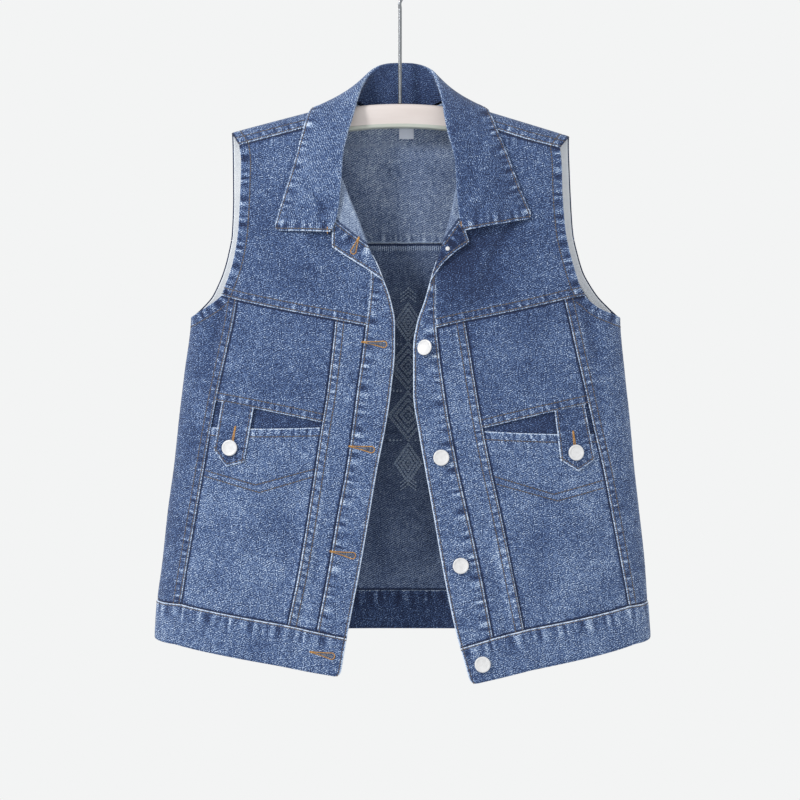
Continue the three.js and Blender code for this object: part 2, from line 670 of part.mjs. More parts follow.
function addLapel(side, front, place, point) {
  const { lapel, lapelEnd } = STEPS;
  const line = Object.fromEntries(front.lapel.map((row) => [row.line, lapelLine(row, place, lapel)]));
  const { top, foot, free } = LAPEL_LIFT[side];
  // The turned part is lowest along its fold and bulges off the yoke away from it
  const bulge = (u, from, to) => lerp(from, to, Math.sin((Math.PI / 2) * u));
  add(`lapel_yoke_${side}`, clothPiece(point, awayFromMiddle, {
    top: blendTo(line.under[0], line.fold[0], lapel), bottom: line.seam,
    left: line.under, right: line.fold,
  }, (u, v) => bulge(1 - u, lerp(top, foot, v), lerp(top + 1, free, v)), CLOTH), COLOR.light);
  add(`lapel_placket_${side}`, clothPiece(point, awayFromMiddle, {
    top: line.seam, bottom: line.front,
    left: blendTo(line.seam[0], line.front[0], lapelEnd),
    right: blendTo(line.seam[lapel], line.front[lapel], lapelEnd),
  }, (u, v) => bulge(1 - u, lerp(foot, top, v * v), free), CLOTH), COLOR.mid);
}

function addTab(side, front, place, point) {
  const { tabTop, tabFoot } = STEPS;
  const at = Object.fromEntries(front.tab.map((row) => [row.corner, place(row.x, row.z)]));
  add(`pocket_tab_${side}`, clothPiece(point, awayFromMiddle, {
    top: blendTo(at.outerTop, at.innerTop, tabTop),
    bottom: chain(blendTo(at.outerFoot, at.tip, tabFoot), blendTo(at.tip, at.innerFoot, tabFoot)),
    left: blendTo(at.outerTop, at.outerFoot, tabTop), right: blendTo(at.innerTop, at.innerFoot, tabTop),
  }, TAB_LIFT, CLOTH), COLOR.light);
}

// Edges of the back yoke as [x, fall]: shoulder seam, neck, and the armhole over the shoulder
function shoulderLineOver(side) {
  const { sign, neck, armhole } = FRONTS[side];
  const shoulder = smooth(SHOULDER_SEAM, 'x', side);
  const end = smooth(armhole, 'z', 'front')(ARMHOLE.shoulderEnd);
  const top = smooth(neck, 'z', 'x')(NECK.top);
  return range(YOKE_COLUMNS).map((u) => {
    const x = sign * lerp(end, top, u);
    return [x, fallAt(x, shoulder(Math.abs(x)))];
  });
}

function neckOver(side) {
  const { sign, collar } = FRONTS[side];
  const neckX = smooth(collar.slice(0, NECK_FALLS.length + 1), 'neckFall', 'neckX');
  const start = shoulderLineOver(side)[YOKE_COLUMNS];
  const last = NECK_FALLS.length - 1;
  return [start, ...NECK_FALLS.map((fall, i) => [i === last ? 0 : sign * neckX(fall), fall])];
}

function armholeOver(side, toZ, steps) {
  const { sign, armhole } = FRONTS[side];
  const frontX = smooth(armhole, 'z', 'front')(ARMHOLE.shoulderEnd);
  const backX = smooth(armhole, 'z', 'back');
  const ridgeX = backX(ARMHOLE.backTop);
  const start = shoulderLineOver(side)[0];
  const top = STEPS.overShoulder;
  return range(steps).map((u, i) => {
    if (i <= top) {
      return [sign * lerp(ridgeX, frontX, (1 - i / top) ** 2), start[1] * (1 - i / top)];
    }
    // Rows are closer just behind the shoulder, where the cloth turns
    const z = lerp(shoulderHeight(sign * ridgeX), toZ, ((i - top) / (steps - top)) ** 1.8);
    const x = sign * backX(z);
    return [x, -fallAt(x, z)];
  });
}

const yokeSeamHeight = (x) => BACK.yoke - BACK.yokeDip * (1 - (x / BACK.yokeHalf) ** 2);
const bandHeight = (x) => BACK.band + BACK.rise * (1 - (x / BACK.half) ** 2);
const hemHeight = (x) => BACK.hem + BACK.rise * (1 - (x / BACK.half) ** 2);
const sideLevel = (front, seam) => front.levels.find((row) => row.seam === seam).side;

function addBack() {
  const leftShoulder = shoulderLineOver('left');
  const rightShoulder = shoulderLineOver('right').reverse();
  const top = chain(leftShoulder, neckOver('left'), neckOver('right').reverse(), rightShoulder);
  const rows = STEPS.backRows + STEPS.overShoulder;
  const edge = (side) => armholeOver(side, BACK.yoke, rows);
  const left = edge('left');
  const right = edge('right');
  const half = YOKE_COLUMNS + STEPS.backNeck;
  const centre = half - STEPS.backSide;
  const seamX = [-BACK.seamTop, BACK.seamTop];
  const bottomX = chain(
    range(STEPS.backSide).map((u) => [lerp(left[rows][0], seamX[0], u)]),
    range(2 * centre).map((u) => [lerp(seamX[0], seamX[1], u)]),
    range(STEPS.backSide).map((u) => [lerp(seamX[1], right[rows][0], u)])).map((p) => p[0]);
  const bottom = bottomX.map((x) => [x, -fallAt(x, yokeSeamHeight(x))]);
  left[rows] = bottom[0];
  right[rows] = bottom[bottom.length - 1];
  add('back_yoke', clothPiece(shoulderPoint, awayFromShoulder, { top, bottom, left, right }), COLOR.mid);

  // Middle panel, hung in x and z
  const seamAt = (sign, u) => [sign * lerp(BACK.seamTop, BACK.seamBottom, u),
    lerp(yokeSeamHeight(BACK.seamTop), bandHeight(BACK.seamBottom), u)];
  const seamLine = (sign) => range(STEPS.bodyRows).map((u) => seamAt(sign, u));
  const bandMiddle = range(2 * centre).map((u) => {
    const x = lerp(-BACK.seamBottom, BACK.seamBottom, u);
    return [x, bandHeight(x)];
  });
  add('back_panel', clothPiece(plainPoint, awayFromMiddle, {
    top: range(2 * centre).map((u) => {
      const x = lerp(-BACK.seamTop, BACK.seamTop, u);
      return [x, yokeSeamHeight(x)];
    }),
    bottom: bandMiddle, left: seamLine(-1), right: seamLine(1),
  }), COLOR.mid);

  for (const side of SIDES) {
    const front = FRONTS[side];
    const { sign } = front;
    const point = (t, z) => bodyPoint('back', sign, t, z);
    const toT = ([x, z]) => [across(sign, x, z), z];
    const yokePart = range(STEPS.backSide).map((u) => {
      const x = lerp(sign * Math.abs(bottomX[sign < 0 ? 0 : bottomX.length - 1]), sign * BACK.seamTop, u);
      return toT([x, yokeSeamHeight(x)]);
    });
    const backEdge = armholeEdge(
      front, 'back', ARMHOLE.armpit, yokeSeamHeight(BACK.yokeHalf), STEPS.backArmpit);
    backEdge[0] = [1, ARMHOLE.armpit];
    backEdge[STEPS.backArmpit] = yokePart[0];
    const columns = STEPS.backArmpit + STEPS.backSide;
    const sideSeam = sideLevel(front, 'band');
    const bandSide = range(columns).map((u) => {
      const t = lerp(1, across(sign, BACK.seamBottom, bandHeight(BACK.seamBottom)), u);
      const x = halfWidth(sign, BACK.band) * Math.sin((Math.PI / 2) * t);
      return [t, bandHeight(x) + (sideSeam - bandHeight(halfWidth(sign, BACK.band))) * (1 - u) ** 2];
    });
    add(`side_back_${side}`, clothPiece(point, awayFromMiddle, {
      top: chain(backEdge, yokePart), bottom: bandSide,
      left: blendTo(backEdge[0], [1, sideSeam], STEPS.bodyRows),
      right: seamLine(sign).map(toT),
    }), COLOR.light);
  }

  // One hem band across the whole back, from side seam to side seam
  const bandHalf = (side, height, seam) => {
    const front = FRONTS[side];
    const end = sideLevel(front, seam);
    const columns = STEPS.backArmpit + STEPS.backSide;
    const mid = range(centre).map((u) => {
      const x = lerp(0, BACK.seamBottom, u);
      return [front.sign * across(front.sign, x, height(x)), height(x)];
    });
    const outerPart = range(columns).map((u) => {
      const t = lerp(across(front.sign, BACK.seamBottom, height(BACK.seamBottom)), 1, u);
      const x = halfWidth(front.sign, height(0)) * Math.sin((Math.PI / 2) * t);
      return [front.sign * t, height(x) + (end - height(halfWidth(front.sign, height(0)))) * u ** 2];
    });
    return chain(mid, outerPart);
  };
  const bandLine = (height, seam) => chain(
    bandHalf('left', height, seam).reverse(), bandHalf('right', height, seam));
  const topLine = bandLine(bandHeight, 'band');
  const hemLine = bandLine(hemHeight, 'hem');
  const last = topLine.length - 1;
  const signedPoint = (t, z) => bodyPoint('back', t < 0 ? -1 : 1, Math.abs(t), z);
  add('hem_band_back', clothPiece(signedPoint, awayFromMiddle, {
    top: topLine, bottom: hemLine,
    left: blendTo(topLine[0], hemLine[0], STEPS.band),
    right: blendTo(topLine[last], hemLine[last], STEPS.band),
  }, BAND.lift, BAND.wall), COLOR.light);
}

function addSizeTab() {
  const { x1, x2, top, bottom } = SIZE_TAB;
  const level = (z) => blendTo([x1, z], [x2, z], STEPS.sizeTabWidth);
  const down = (x) => blendTo([x, top], [x, bottom], STEPS.sizeTab);
  add('size_tab', clothPiece(plainPoint, awayFromMiddle, {
    top: level(top), bottom: level(bottom), left: down(x1), right: down(x2),
  }, UNDER, TAPE_WALL), COLOR.tab);
}

// Strip sewn inside the back armhole, from just behind the shoulder to just above the armpit
function addArmholeFacing(side) {
  const { sign, armhole } = FRONTS[side];
  const backX = smooth(armhole, 'z', 'back');
  const last = STEPS.facing;
  const heights = range(last).map((u) => lerp(FACING.top, FACING.bottom, u));
  const edge = heights.map((z) => new THREE.Vector2(backX(z), z));
  const inside = edge.map((p, j) => {
    const run = edge[Math.min(j + 1, last)].clone().sub(edge[Math.max(j - 1, 0)]).normalize();
    return new THREE.Vector2(p.x + run.y * FACING.width, p.y - run.x * FACING.width);
  });
  const [left, right] = [edge, inside].map(
    (line) => line.map((p) => [sign * p.x, -fallAt(sign * p.x, p.y)]));
  add(`armhole_facing_${side}`, clothPiece(shoulderPoint, awayFromShoulder, {
    top: blendTo(left[0], right[0], STEPS.facingWidth),
    bottom: blendTo(left[last], right[last], STEPS.facingWidth), left, right,
  }, UNDER, FACING.wall), COLOR.facing);
}

// Collar sections of one side, smoothly between the table's rows, from the back to the front end
function collarRows(side) {
  const { sign, collar } = FRONTS[side];
  const rows = collar.map((row, k) => ({ ...row, k }));
  const last = rows.length - 1;
  const columns = COLLAR_COLUMNS.map((name) => [name, smooth(rows, 'k', name)]);
  return range(COLLAR_STEPS * last).map((u) => {
    const row = Object.fromEntries(columns.map(([name, at]) => [name, at(u * last)]));
    return { ...row, sign };
  });
}

// A wall behind a grid of points, each set in square to its neighbours
function walledGrid(grid, wall, toOutside) {
  const rows = grid.length - 1;
  const columns = grid[0].length - 1;
  const inner = grid.map((row, j) => row.map((p, i) => {
    const du = row[Math.min(i + 1, columns)].clone().sub(row[Math.max(i - 1, 0)]);
    const dv = grid[Math.min(j + 1, rows)][i].clone().sub(grid[Math.max(j - 1, 0)][i]);
    const n = du.cross(dv).normalize();
    return p.clone().addScaledVector(n, n.dot(toOutside(p)) < 0 ? wall : -wall);
  }));
  return wallGeometry(grid, inner);
}

function addCollar() {
  const onBody = (x, fall, lift) => {
    const p = shoulderPoint(x, fall);
    const n = outward(shoulderPoint, x, fall);
    return p.addScaledVector(n, n.dot(awayFromShoulder(p)) < 0 ? -lift : lift);
  };
  const sections = [...collarRows('left').reverse(), ...collarRows('right').slice(1)];

  // Leaf: follows the yokes from the neck seam to its outer edge, and stands off them by the
  // height of the fold, which fades towards the edge
  const leaf = sections.map((row) => {
    const start = onBody(row.sign * row.neckX, row.neckFall, LEAF_LIFT);
    const off = new THREE.Vector3(row.sign * row.foldX, row.foldY, row.foldZ).sub(start);
    return range(STEPS.leaf).map((r) => {
      const foot = onBody(
        row.sign * lerp(row.neckX, row.leafX, r), lerp(row.neckFall, row.leafFall, r), LEAF_LIFT);
      return foot.addScaledVector(off, (1 - r) ** LEAF_FULLNESS);
    });
  });
  const upAndOut = (p) => new THREE.Vector3(p.x, p.y * 1.5, 60);
  add('collar_leaf', walledGrid(leaf, COLLAR_WALL, upAndOut), COLOR.light);

  const stand = sections.slice(STAND_END, -STAND_END).map((row) => {
    // Behind, the stand rises from the yoke's edge; in front it stands on the yoke
    const onTop = Math.min(Math.max((row.neckFall + 4) / 3, 0), 1);
    const foot = onBody(row.sign * row.neckX, row.neckFall, lerp(-CLOTH / 2, SEAM_GAP, onTop));
    const head = new THREE.Vector3(row.sign * row.foldX, row.foldY, row.foldZ);
    const inwards = new THREE.Vector3(-head.x, NECK_MIDDLE - head.y, 0).normalize();
    const way = head.addScaledVector(inwards, STAND_INSIDE).sub(foot);
    const top = Math.max(way.length() - 2, STAND_FOOT + 1.5);
    way.normalize();
    return range(STEPS.stand).map((r) => foot.clone().addScaledVector(way, lerp(STAND_FOOT, top, r)));
  });
  const outFromNeck = (p) => new THREE.Vector3(p.x, p.y, 0);
  add('collar_stand', walledGrid(stand, STAND_WALL, outFromNeck), COLOR.dark);
}

// A button: a dished disc on a short shank, turned round its axis
function buttonGeometry({ radius, thick, rim, shank, neck }) {
  const top = neck + thick;
  const profile = [
    [0, 0], [shank, 0], [shank, neck], [radius, neck + rim], [radius - 0.8, top],
    [radius - 2.4, top], [radius - 3.2, top - 0.6], [0, top - 0.8],
  ].map(([r, y]) => new THREE.Vector2(r, y));
  return new THREE.LatheGeometry(profile, BUTTON_SIDES);
}

function placeOnFront(mesh, x, z, lift) {
  const sign = Math.sign(x);
  const point = (t, height) => bodyPoint('front', sign, t, height);
  const t = across(sign, x, z);
  const foot = point(t, z);
  const n = outward(point, t, z);
  if (n.dot(awayFromMiddle(foot)) < 0) n.negate();
  mesh.quaternion.setFromUnitVectors(new THREE.Vector3(0, 1, 0), n);
  mesh.position.copy(foot.addScaledVector(n, lift));
}

function addButton(name, form, { x, z, lift }) {
  const mesh = new THREE.Mesh(buttonGeometry(form), material(COLOR.button, 0.35, 0.1));
  mesh.name = name;
  placeOnFront(mesh, x, z, lift);
  vest.add(mesh);
}

function addButtons() {
  for (const button of BUTTONS) {
    addButton(button.name, BUTTON, { ...button, lift: button.lift + SEAM_GAP });
  }
  addButton('button_1', HIDDEN_BUTTON, HIDDEN_BUTTON_AT);
}

// Hanger: a flat arched bar with a rounded top, carried through short sections
function addHanger() {
  const section = [
    [0, 0], [3, -1.1], [5, -2.8], [BAR.halfThick, -5], [BAR.halfThick, -BAR.height + 3],
    [BAR.halfThick - 2, -BAR.height], [0, -BAR.height],
  ];
  const ring = [...section, ...section.slice(1, -1).reverse().map(([y, z]) => [-y, z])];
  const seat = (x) => shoulderHeight(x) - CLOTH - BAR.seat;
  const arch = (x) => BAR.archTop - BAR.archDrop * x * x;
  const loops = range(BAR.sections).map((u) => {
    const x = lerp(-BAR.halfLength, BAR.halfLength, u);
    const { drop, thin, low } = u === 0 || u === 1 ? BAR_END : { drop: 0, thin: 1, low: 1 };
    const top = Math.min(arch(x), seat(x)) - drop;
    return ring.map(([y, z]) => new THREE.Vector3(x, y * thin, top + z * low));
  });
  add('hanger_bar', loftGeometry(loops), COLOR.bar, 0.5);

  const { radius: r, turn, points, stem } = HOOK;
  const centre = WIRE.radius - r;
  const bend = range(points).map((u) => new THREE.Vector3(
    r * Math.cos(turn * u), 0, centre + r * Math.sin(turn * u)));
  const up = [BAR.archTop + SEAM_GAP, ...stem].map((z) => new THREE.Vector3(0, 0, z));
  const swing = new THREE.Vector3(r * 0.62, 0, centre - r * 0.88);
  const route = new THREE.CatmullRomCurve3([...up, swing, ...bend], false, 'centripetal');
  const disc = new THREE.Shape().absarc(0, 0, WIRE.radius, 0, 2 * Math.PI);
  const wire = new THREE.ExtrudeGeometry(disc, {
    steps: WIRE.steps, curveSegments: WIRE.sides, extrudePath: route,
  });
  add('hook', wire, COLOR.wire, 0.3, 1);
}

// Solid through closed loops of equal count, with flat ends
function loftGeometry(loops) {
  const count = loops[0].length;
  const positions = loops.flat().flatMap((p) => [p.x, p.y, p.z]);
  const index = [];
  for (let j = 0; j < loops.length - 1; j++) {
    for (let i = 0; i < count; i++) {
      const [a, b] = [j * count + i, j * count + ((i + 1) % count)];
      index.push(a, b, b + count, a, b + count, a + count);
    }
  }
  const lastLoop = (loops.length - 1) * count;
  for (let i = 1; i < count - 1; i++) {
    index.push(0, i + 1, i, lastLoop, lastLoop + i, lastLoop + i + 1);
  }
  return facingOut(positions, index);
}

SIDES.forEach(addFront);
addBack();
addSizeTab();
SIDES.forEach(addArmholeFacing);
addCollar();
addButtons();
addHanger();

export default vest;
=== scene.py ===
"""Denim vest on a flat hanger: the cloth, sewing, buttons and hanger as they show.

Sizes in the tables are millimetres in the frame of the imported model: the origin is the inside
top of the hook, +Z is up, the wearer's front faces -Y. 'left' and 'right' are as seen from the
front. A sewn piece is a grid of points on one smooth body form, cut out between its seams.
"""

import math

import bpy
import numpy as np
from bpy.props import FloatProperty, FloatVectorProperty, PointerProperty
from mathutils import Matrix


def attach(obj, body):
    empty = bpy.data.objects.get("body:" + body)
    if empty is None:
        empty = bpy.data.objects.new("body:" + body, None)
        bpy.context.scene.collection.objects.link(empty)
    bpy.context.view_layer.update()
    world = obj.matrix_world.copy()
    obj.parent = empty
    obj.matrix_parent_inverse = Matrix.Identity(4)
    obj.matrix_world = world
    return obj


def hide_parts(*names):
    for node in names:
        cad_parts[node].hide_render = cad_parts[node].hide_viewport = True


bl_info = {
    "name": "Denim vest on a hanger",
    "version": (1, 0, 0),
    "blender": (4, 5, 0),
    "location": "3D View > Sidebar > Vest",
    "description": "Makes a sleeveless denim vest, worn open, on a flat arched hanger",
    "category": "Add Mesh",
}

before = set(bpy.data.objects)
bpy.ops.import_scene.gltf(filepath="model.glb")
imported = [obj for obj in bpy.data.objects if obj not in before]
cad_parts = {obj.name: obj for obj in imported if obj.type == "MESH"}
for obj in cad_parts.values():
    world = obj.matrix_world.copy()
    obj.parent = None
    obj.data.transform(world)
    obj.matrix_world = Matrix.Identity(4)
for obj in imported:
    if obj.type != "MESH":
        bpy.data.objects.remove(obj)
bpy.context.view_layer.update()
MM = 0.001


def linear(code):
    """An sRGB hex colour as linear red, green, blue and 1."""
    parts = [int(code[k:k + 2], 16) / 255 for k in (1, 3, 5)]
    return [p / 12.92 if p <= 0.04045 else ((p + 0.055) / 1.055) ** 2.4 for p in parts] + [1.0]


def table(columns, rows):
    """Rows of values as a list of dicts with the columns' names."""
    return [dict(zip(columns, row)) for row in rows]


# ---- Sizes of the garment, as cut and sewn ----

DEPTH = table(["fall", "front", "back"], [
    [0, 0, 0],
    [2, 8.6, 9.8],
    [4, 15.5, 17.6],
    [6.3, 21.8, 23.4],
    [9.5, 29, 28.4],
    [12.6, 35, 31],
    [15, 39.6, 32.6],
    [18.2, 44, 33.2],
    [21.2, 47.5, 33],
    [24.3, 50, 32.4],
    [26.5, 51.4, 32],
])
WIDTH = table(["z", "left", "right"], [
    [-160, 245, 246],
    [-300, 245, 246],
    [-345, 238, 243],
    [-388, 226, 238],
    [-449, 233, 243],
    [-495, 238.5, 248],
    [-547, 244, 252.7],
    [-594, 250.5, 258],
    [-654, 257, 264.5],
    [-692, 262, 267],
    [-732, 264.5, 270],
    [-800, 268, 273],
])
LEFT_SEAMS = table(["z", "outer", "inner", "placket", "edge"], [
    [-317, 165, 60, 33, 32],
    [-333, 168, 62, 31.5, 23.5],
    [-350, 170, 64, 31, 17],
    [-370, 174, 66, 32.5, 10],
    [-395, 178.5, 68.5, 35.5, 5.4],
    [-420, 184, 71, 38.5, 5.3],
    [-470, 195, 77, 45.5, 9.8],
    [-510, 202.5, 83.5, 50.5, 16],
    [-550, 209.5, 89.5, 56.5, 24],
    [-600, 218, 97, 66, 32.5],
    [-660, 228.5, 107, 76, 43],
    [-720, 238, 119.5, 87.5, 54.5],
    [-775, 245, 130, 98, 64],
])
RIGHT_SEAMS = table(["z", "outer", "inner", "placket", "edge"], [
    [-317, 160, 60, 45, 44],
    [-333, 165, 62, 41, 37],
    [-350, 170, 64, 38.5, 32],
    [-370, 175.5, 66, 38, 26.5],
    [-395, 181.5, 69, 38.3, 18],
    [-420, 187, 73, 40.5, 14],
    [-470, 198.5, 81, 47, 14],
    [-510, 207.5, 88, 53.5, 19.5],
    [-550, 217, 96, 61, 26.5],
    [-600, 226.5, 107, 72, 35.5],
    [-660, 238, 119, 85, 46],
    [-720, 249, 131, 96.5, 58.5],
    [-775, 257, 141, 107, 74],
])
LEFT_LEVELS = table(["seam", "side", "outer", "inner", "placket", "edge"], [
    ["yoke", -365, -370, -391.5, -398, -398],
    ["panel", 0, -478, -501, 0, 0],
    ["mouth", 0, -506, -506, 0, 0],
    ["band", -692, -695, -715.5, -722.5, -729],
    ["hem", -732, -738, -758.5, -764.5, -770],
])
RIGHT_LEVELS = table(["seam", "side", "outer", "inner", "placket", "edge"], [
    ["yoke", -365, -369.5, -393, -400, -400],
    ["panel", 0, -481, -507, 0, 0],
    ["mouth", 0, -513, -510, 0, 0],
    ["band", -693, -697, -720.5, -729, -739.5],
    ["hem", -732, -738, -763, -771, -778],
])
LEFT_ARMHOLE = table(["z", "front", "back"], [
    [-186, 176, 182],
    [-203, 173, 182],
    [-222, 170.5, 182],
    [-252, 171, 182],
    [-295, 173, 183.5],
    [-320, 176.5, 188],
    [-338, 181, 193],
    [-353, 186.5, 199],
    [-365, 191.5, 205],
    [-377, 207, 215],
    [-388, 226, 226],
])
RIGHT_ARMHOLE = table(["z", "front", "back"], [
    [-186, 175, 183],
    [-203, 172, 183.5],
    [-222, 173.5, 184.5],
    [-252, 174, 186],
    [-295, 177, 189],
    [-320, 182, 194.5],
    [-338, 187, 200],
    [-353, 192, 208],
    [-365, 198, 216],
    [-377, 211, 227],
    [-388, 238, 238],
])
LEFT_NECK = table(["z", "x"], [
    [-173, 55],
    [-190, 59.5],
    [-221, 65],
    [-243, 61.5],
    [-262, 54.5],
    [-280, 47],
    [-299, 39],
    [-317, 33],
])
RIGHT_NECK = table(["z", "x"], [
    [-173, 53],
    [-190, 55.5],
    [-221, 62],
    [-243, 61.5],
    [-262, 58],
    [-280, 54.5],
    [-299, 49],
    [-317, 45],
])
SHOULDER_SEAM = table(["x", "left", "right"], [
    [50, -172, -171],
    [107, -186, -188],
    [140, -194.5, -198],
    [173, -203, -206],
])
LEFT_LAPEL = table(["line", "x1", "z1", "x2", "z2", "x3", "z3", "x4", "z4"], [
    ["under", 66.5, -241, 71, -258, 73.5, -272, 72, -284],
    ["fold", 62.5, -241, 53.5, -264, 43.5, -288, 34.5, -313],
    ["seam", 72, -284, 60, -294, 45, -305.5, 34.5, -313],
    ["front", 72, -315, 56, -325.5, 38, -336.5, 18.5, -350],
])
RIGHT_LAPEL = table(["line", "x1", "z1", "x2", "z2", "x3", "z3", "x4", "z4"], [
    ["under", 65.5, -241, 69, -256, 69, -270, 64.5, -284],
    ["fold", 62, -241, 58, -264, 52, -288, 45.5, -311],
    ["seam", 64.5, -284, 59, -292, 52.5, -301, 45.5, -311],
    ["front", 73.5, -310, 59, -320, 45.5, -332.5, 33.5, -349],
])
LEFT_COLLAR = table(["neckX", "neckFall", "foldX", "foldY", "foldZ", "leafX", "leafFall"], [
    [0, -4, 0, 23, -112, 0, -5.7],
    [14, -3.9, 13, 22, -112.4, 28, -5.4],
    [28, -3.4, 25, 18.5, -114.5, 54, -4.7],
    [43, -2.3, 36, 10, -123, 78, -3.3],
    [52.5, -0.6, 43, -3, -137, 92, -0.8],
    [55.5, 2.4, 48.5, -16, -157, 100, 2.8],
    [58, 4.6, 53, -25, -176, 105, 5],
    [60.5, 5.9, 57.5, -30, -193, 110, 6.6],
    [64.5, 7.8, 62.5, -34.5, -220, 117, 8.1],
    [66.5, 9.5, 64, -37, -248, 124, 9.3],
    [70, 11.1, 68, -39.5, -281, 131, 10.4],
    [77.5, 11.8, 75, -40.5, -298.5, 134.5, 11],
])
RIGHT_COLLAR = table(["neckX", "neckFall", "foldX", "foldY", "foldZ", "leafX", "leafFall"], [
    [0, -4, 0, 23, -112, 0, -5.7],
    [14, -3.9, 13, 22, -112.2, 28, -5.4],
    [28, -3.4, 25.5, 18.5, -114, 53, -4.7],
    [43, -2.3, 38, 10, -121.5, 76, -3.3],
    [51, -0.6, 43, -3, -136, 90, -0.8],
    [54, 2.4, 47.5, -16, -157, 98, 2.6],
    [56, 4.6, 50, -25, -176, 104, 4.5],
    [58, 5.9, 53, -30, -193, 110, 5.7],
    [63, 7.8, 60, -34.5, -221, 119, 7.3],
    [64.5, 9.5, 61.5, -38.5, -248, 128, 8.7],
    [67, 11.1, 64, -42.8, -281, 137, 9.7],
    [72.5, 11.7, 70, -45, -297, 141.5, 10.2],
])
LEFT_TAB = table(["corner", "x", "z"], [
    ["innerFoot", 165, -543],
    ["tip", 184, -548],
    ["outerFoot", 198, -530],
    ["outerTop", 189, -478],
    ["innerTop", 155, -485],
])
RIGHT_TAB = table(["corner", "x", "z"], [
    ["innerFoot", 170, -541],
    ["tip", 189, -553],
    ["outerFoot", 207, -540],
    ["outerTop", 196, -482],
    ["innerTop", 164, -489],
])
BUTTONS = table(["name", "x", "z", "lift"], [
    ["button_2", 28, -422, 0.5],
    ["button_3", 43.5, -538, 0.5],
    ["button_4", 64, -652, 0.5],
    ["button_5", 87, -756, 0.7],
    ["tab_button_left", -180, -528, 2],
    ["tab_button_right", 186, -533, 2],
])
FOLDS = table(["face", "x", "z", "lean", "length", "width", "height"], [
    ["front", -204, -430, -0.1, 75, 10, -3.2],
    ["front", 213, -440, 0.12, 70, 11, -3],
    ["front", -110, -675, -0.2, 55, 6.5, 2.2],
    ["front", -99, -690, -0.2, 45, 5, -1.6],
    ["front", 122, -690, 0.2, 50, 7, 2.4],
    ["front", 108, -700, 0.2, 40, 5.5, -1.8],
    ["front", 96, -350, -0.35, 60, 15, -3.2],
    ["front", -120, -350, 0.25, 55, 20, -2],
    ["front", -165, -620, -0.12, 90, 20, 2.2],
    ["front", 180, -630, 0.12, 90, 22, 2.4],
    ["back", -60, -470, -0.08, 130, 22, 2.6],
    ["back", 78, -520, 0.1, 140, 24, 2.8],
    ["back", 10, -600, 0.02, 90, 18, -2],
    ["back", -150, -600, -0.15, 100, 16, -2.4],
    ["back", 160, -560, 0.15, 110, 18, -2.2],
])

SIDES = ("left", "right")
SIGN = {"left": -1, "right": 1}
SEAM_ROWS = {"left": LEFT_SEAMS, "right": RIGHT_SEAMS}
LEVELS = {"left": {row["seam"]: row for row in LEFT_LEVELS},
          "right": {row["seam"]: row for row in RIGHT_LEVELS}}
ARMHOLE = {"left": LEFT_ARMHOLE, "right": RIGHT_ARMHOLE}
NECK = {"left": LEFT_NECK, "right": RIGHT_NECK}
LAPEL = {"left": LEFT_LAPEL, "right": RIGHT_LAPEL}
COLLAR = {"left": LEFT_COLLAR, "right": RIGHT_COLLAR}
TAB = {"left": LEFT_TAB, "right": RIGHT_TAB}

SHOULDER = {"x": 93, "z": -165, "round": 30, "left": 0.27, "right": 0.31}
SIDE_ROUNDING = 3
CLOTH = 1.5
PLACKET = {"lift": 0.5, "wall": 2.4}
BAND = {"lift": 0.7, "wall": 2.9}
SEAM_GAP = 0.3
UNDER = -CLOTH - 2 * SEAM_GAP
FACING = {"wall": 0.9, "width": 10, "inset": 1.3, "bottom": -381, "left": -188.5, "right": -192.5,
          "steps": 12}
LAPEL_LIFT = {"left": {"top": 2.1, "foot": 2.3, "free": 4.6},
              "right": {"top": 2.1, "foot": 5, "free": 6}}
LEAF_LIFT = 3.1
LEAF_FULLNESS = 0.75
BACK = {"yoke": -303, "yokeDip": 3, "seamTop": 116, "seamBottom": 102,
        "band": -689, "hem": -731, "rise": 4}
POCKET_FACING = {"depth": 62, "behind": 7, "beside": 0.012, "rows": 5}
HIDDEN_BUTTON_AT = (54.5, -312)
SIZE_TAB = {"x1": -1, "x2": 15, "top": -163, "bottom": -192}
BAR = {"halfLength": 150, "halfThick": 6, "height": 26, "archTop": -157.2, "archDrop": 0.00115,
       "seat": 1.1}
HOOK = {"radius": 18, "turn": 1.15 * math.pi, "stem": (-110, -70, -55, -47)}

# Levels that several pieces share: the neck seam's ends and the fold in it, the top of the
# placket, the armpit, the yoke's corner at the armhole and the tops of the armhole's two edges
NECK_TOP = -173
FOLD_TOP = -243
FOLD_FOOT = -317
PLACKET_TOP = -321
ARMPIT = -388
YOKE_CORNER = -365
HOLE_TOP = {"front": -204, "back": -190}
# How far a crossing seam hangs below a straight line
SAG = {"panel": -2, "mouth": 1.5, "side": 0.5, "pocket": -1}

STEPS = {"armpit": 5, "yokeSide": 2, "pocket": 5, "strip": 2, "placket": 2, "neck": 4, "fold": 4,
         "lapelSeam": 4, "upper": 4, "wedge": 1, "lower": 8, "band": 2, "backNeck": 5,
         "backSide": 5, "backRows": 7, "overShoulder": 3, "bodyRows": 8, "backHole": 6, "lapel": 6,
         "lapelEnd": 4}
YOKE_COLUMNS = STEPS["yokeSide"] + STEPS["pocket"] + STEPS["strip"]
SIDE_COLUMNS = STEPS["armpit"] + STEPS["yokeSide"]
# Points of an edge line to a step, distance between the cloth's points, radius of the hem's
# front corners, and where the back starts on the flat cloth, beside the fronts
FINE = 12
SPACING = 3.0 * MM
CORNER = 7
GIRTH = 1200
# Places in from a rounded edge where the cloth's points lie closer
CLOSE = [0, 0.3, 0.8, 1.6, 2.8]
# For a form that goes on past t = 1, where the fronts end at the side line
NO_SIDE = 1e9

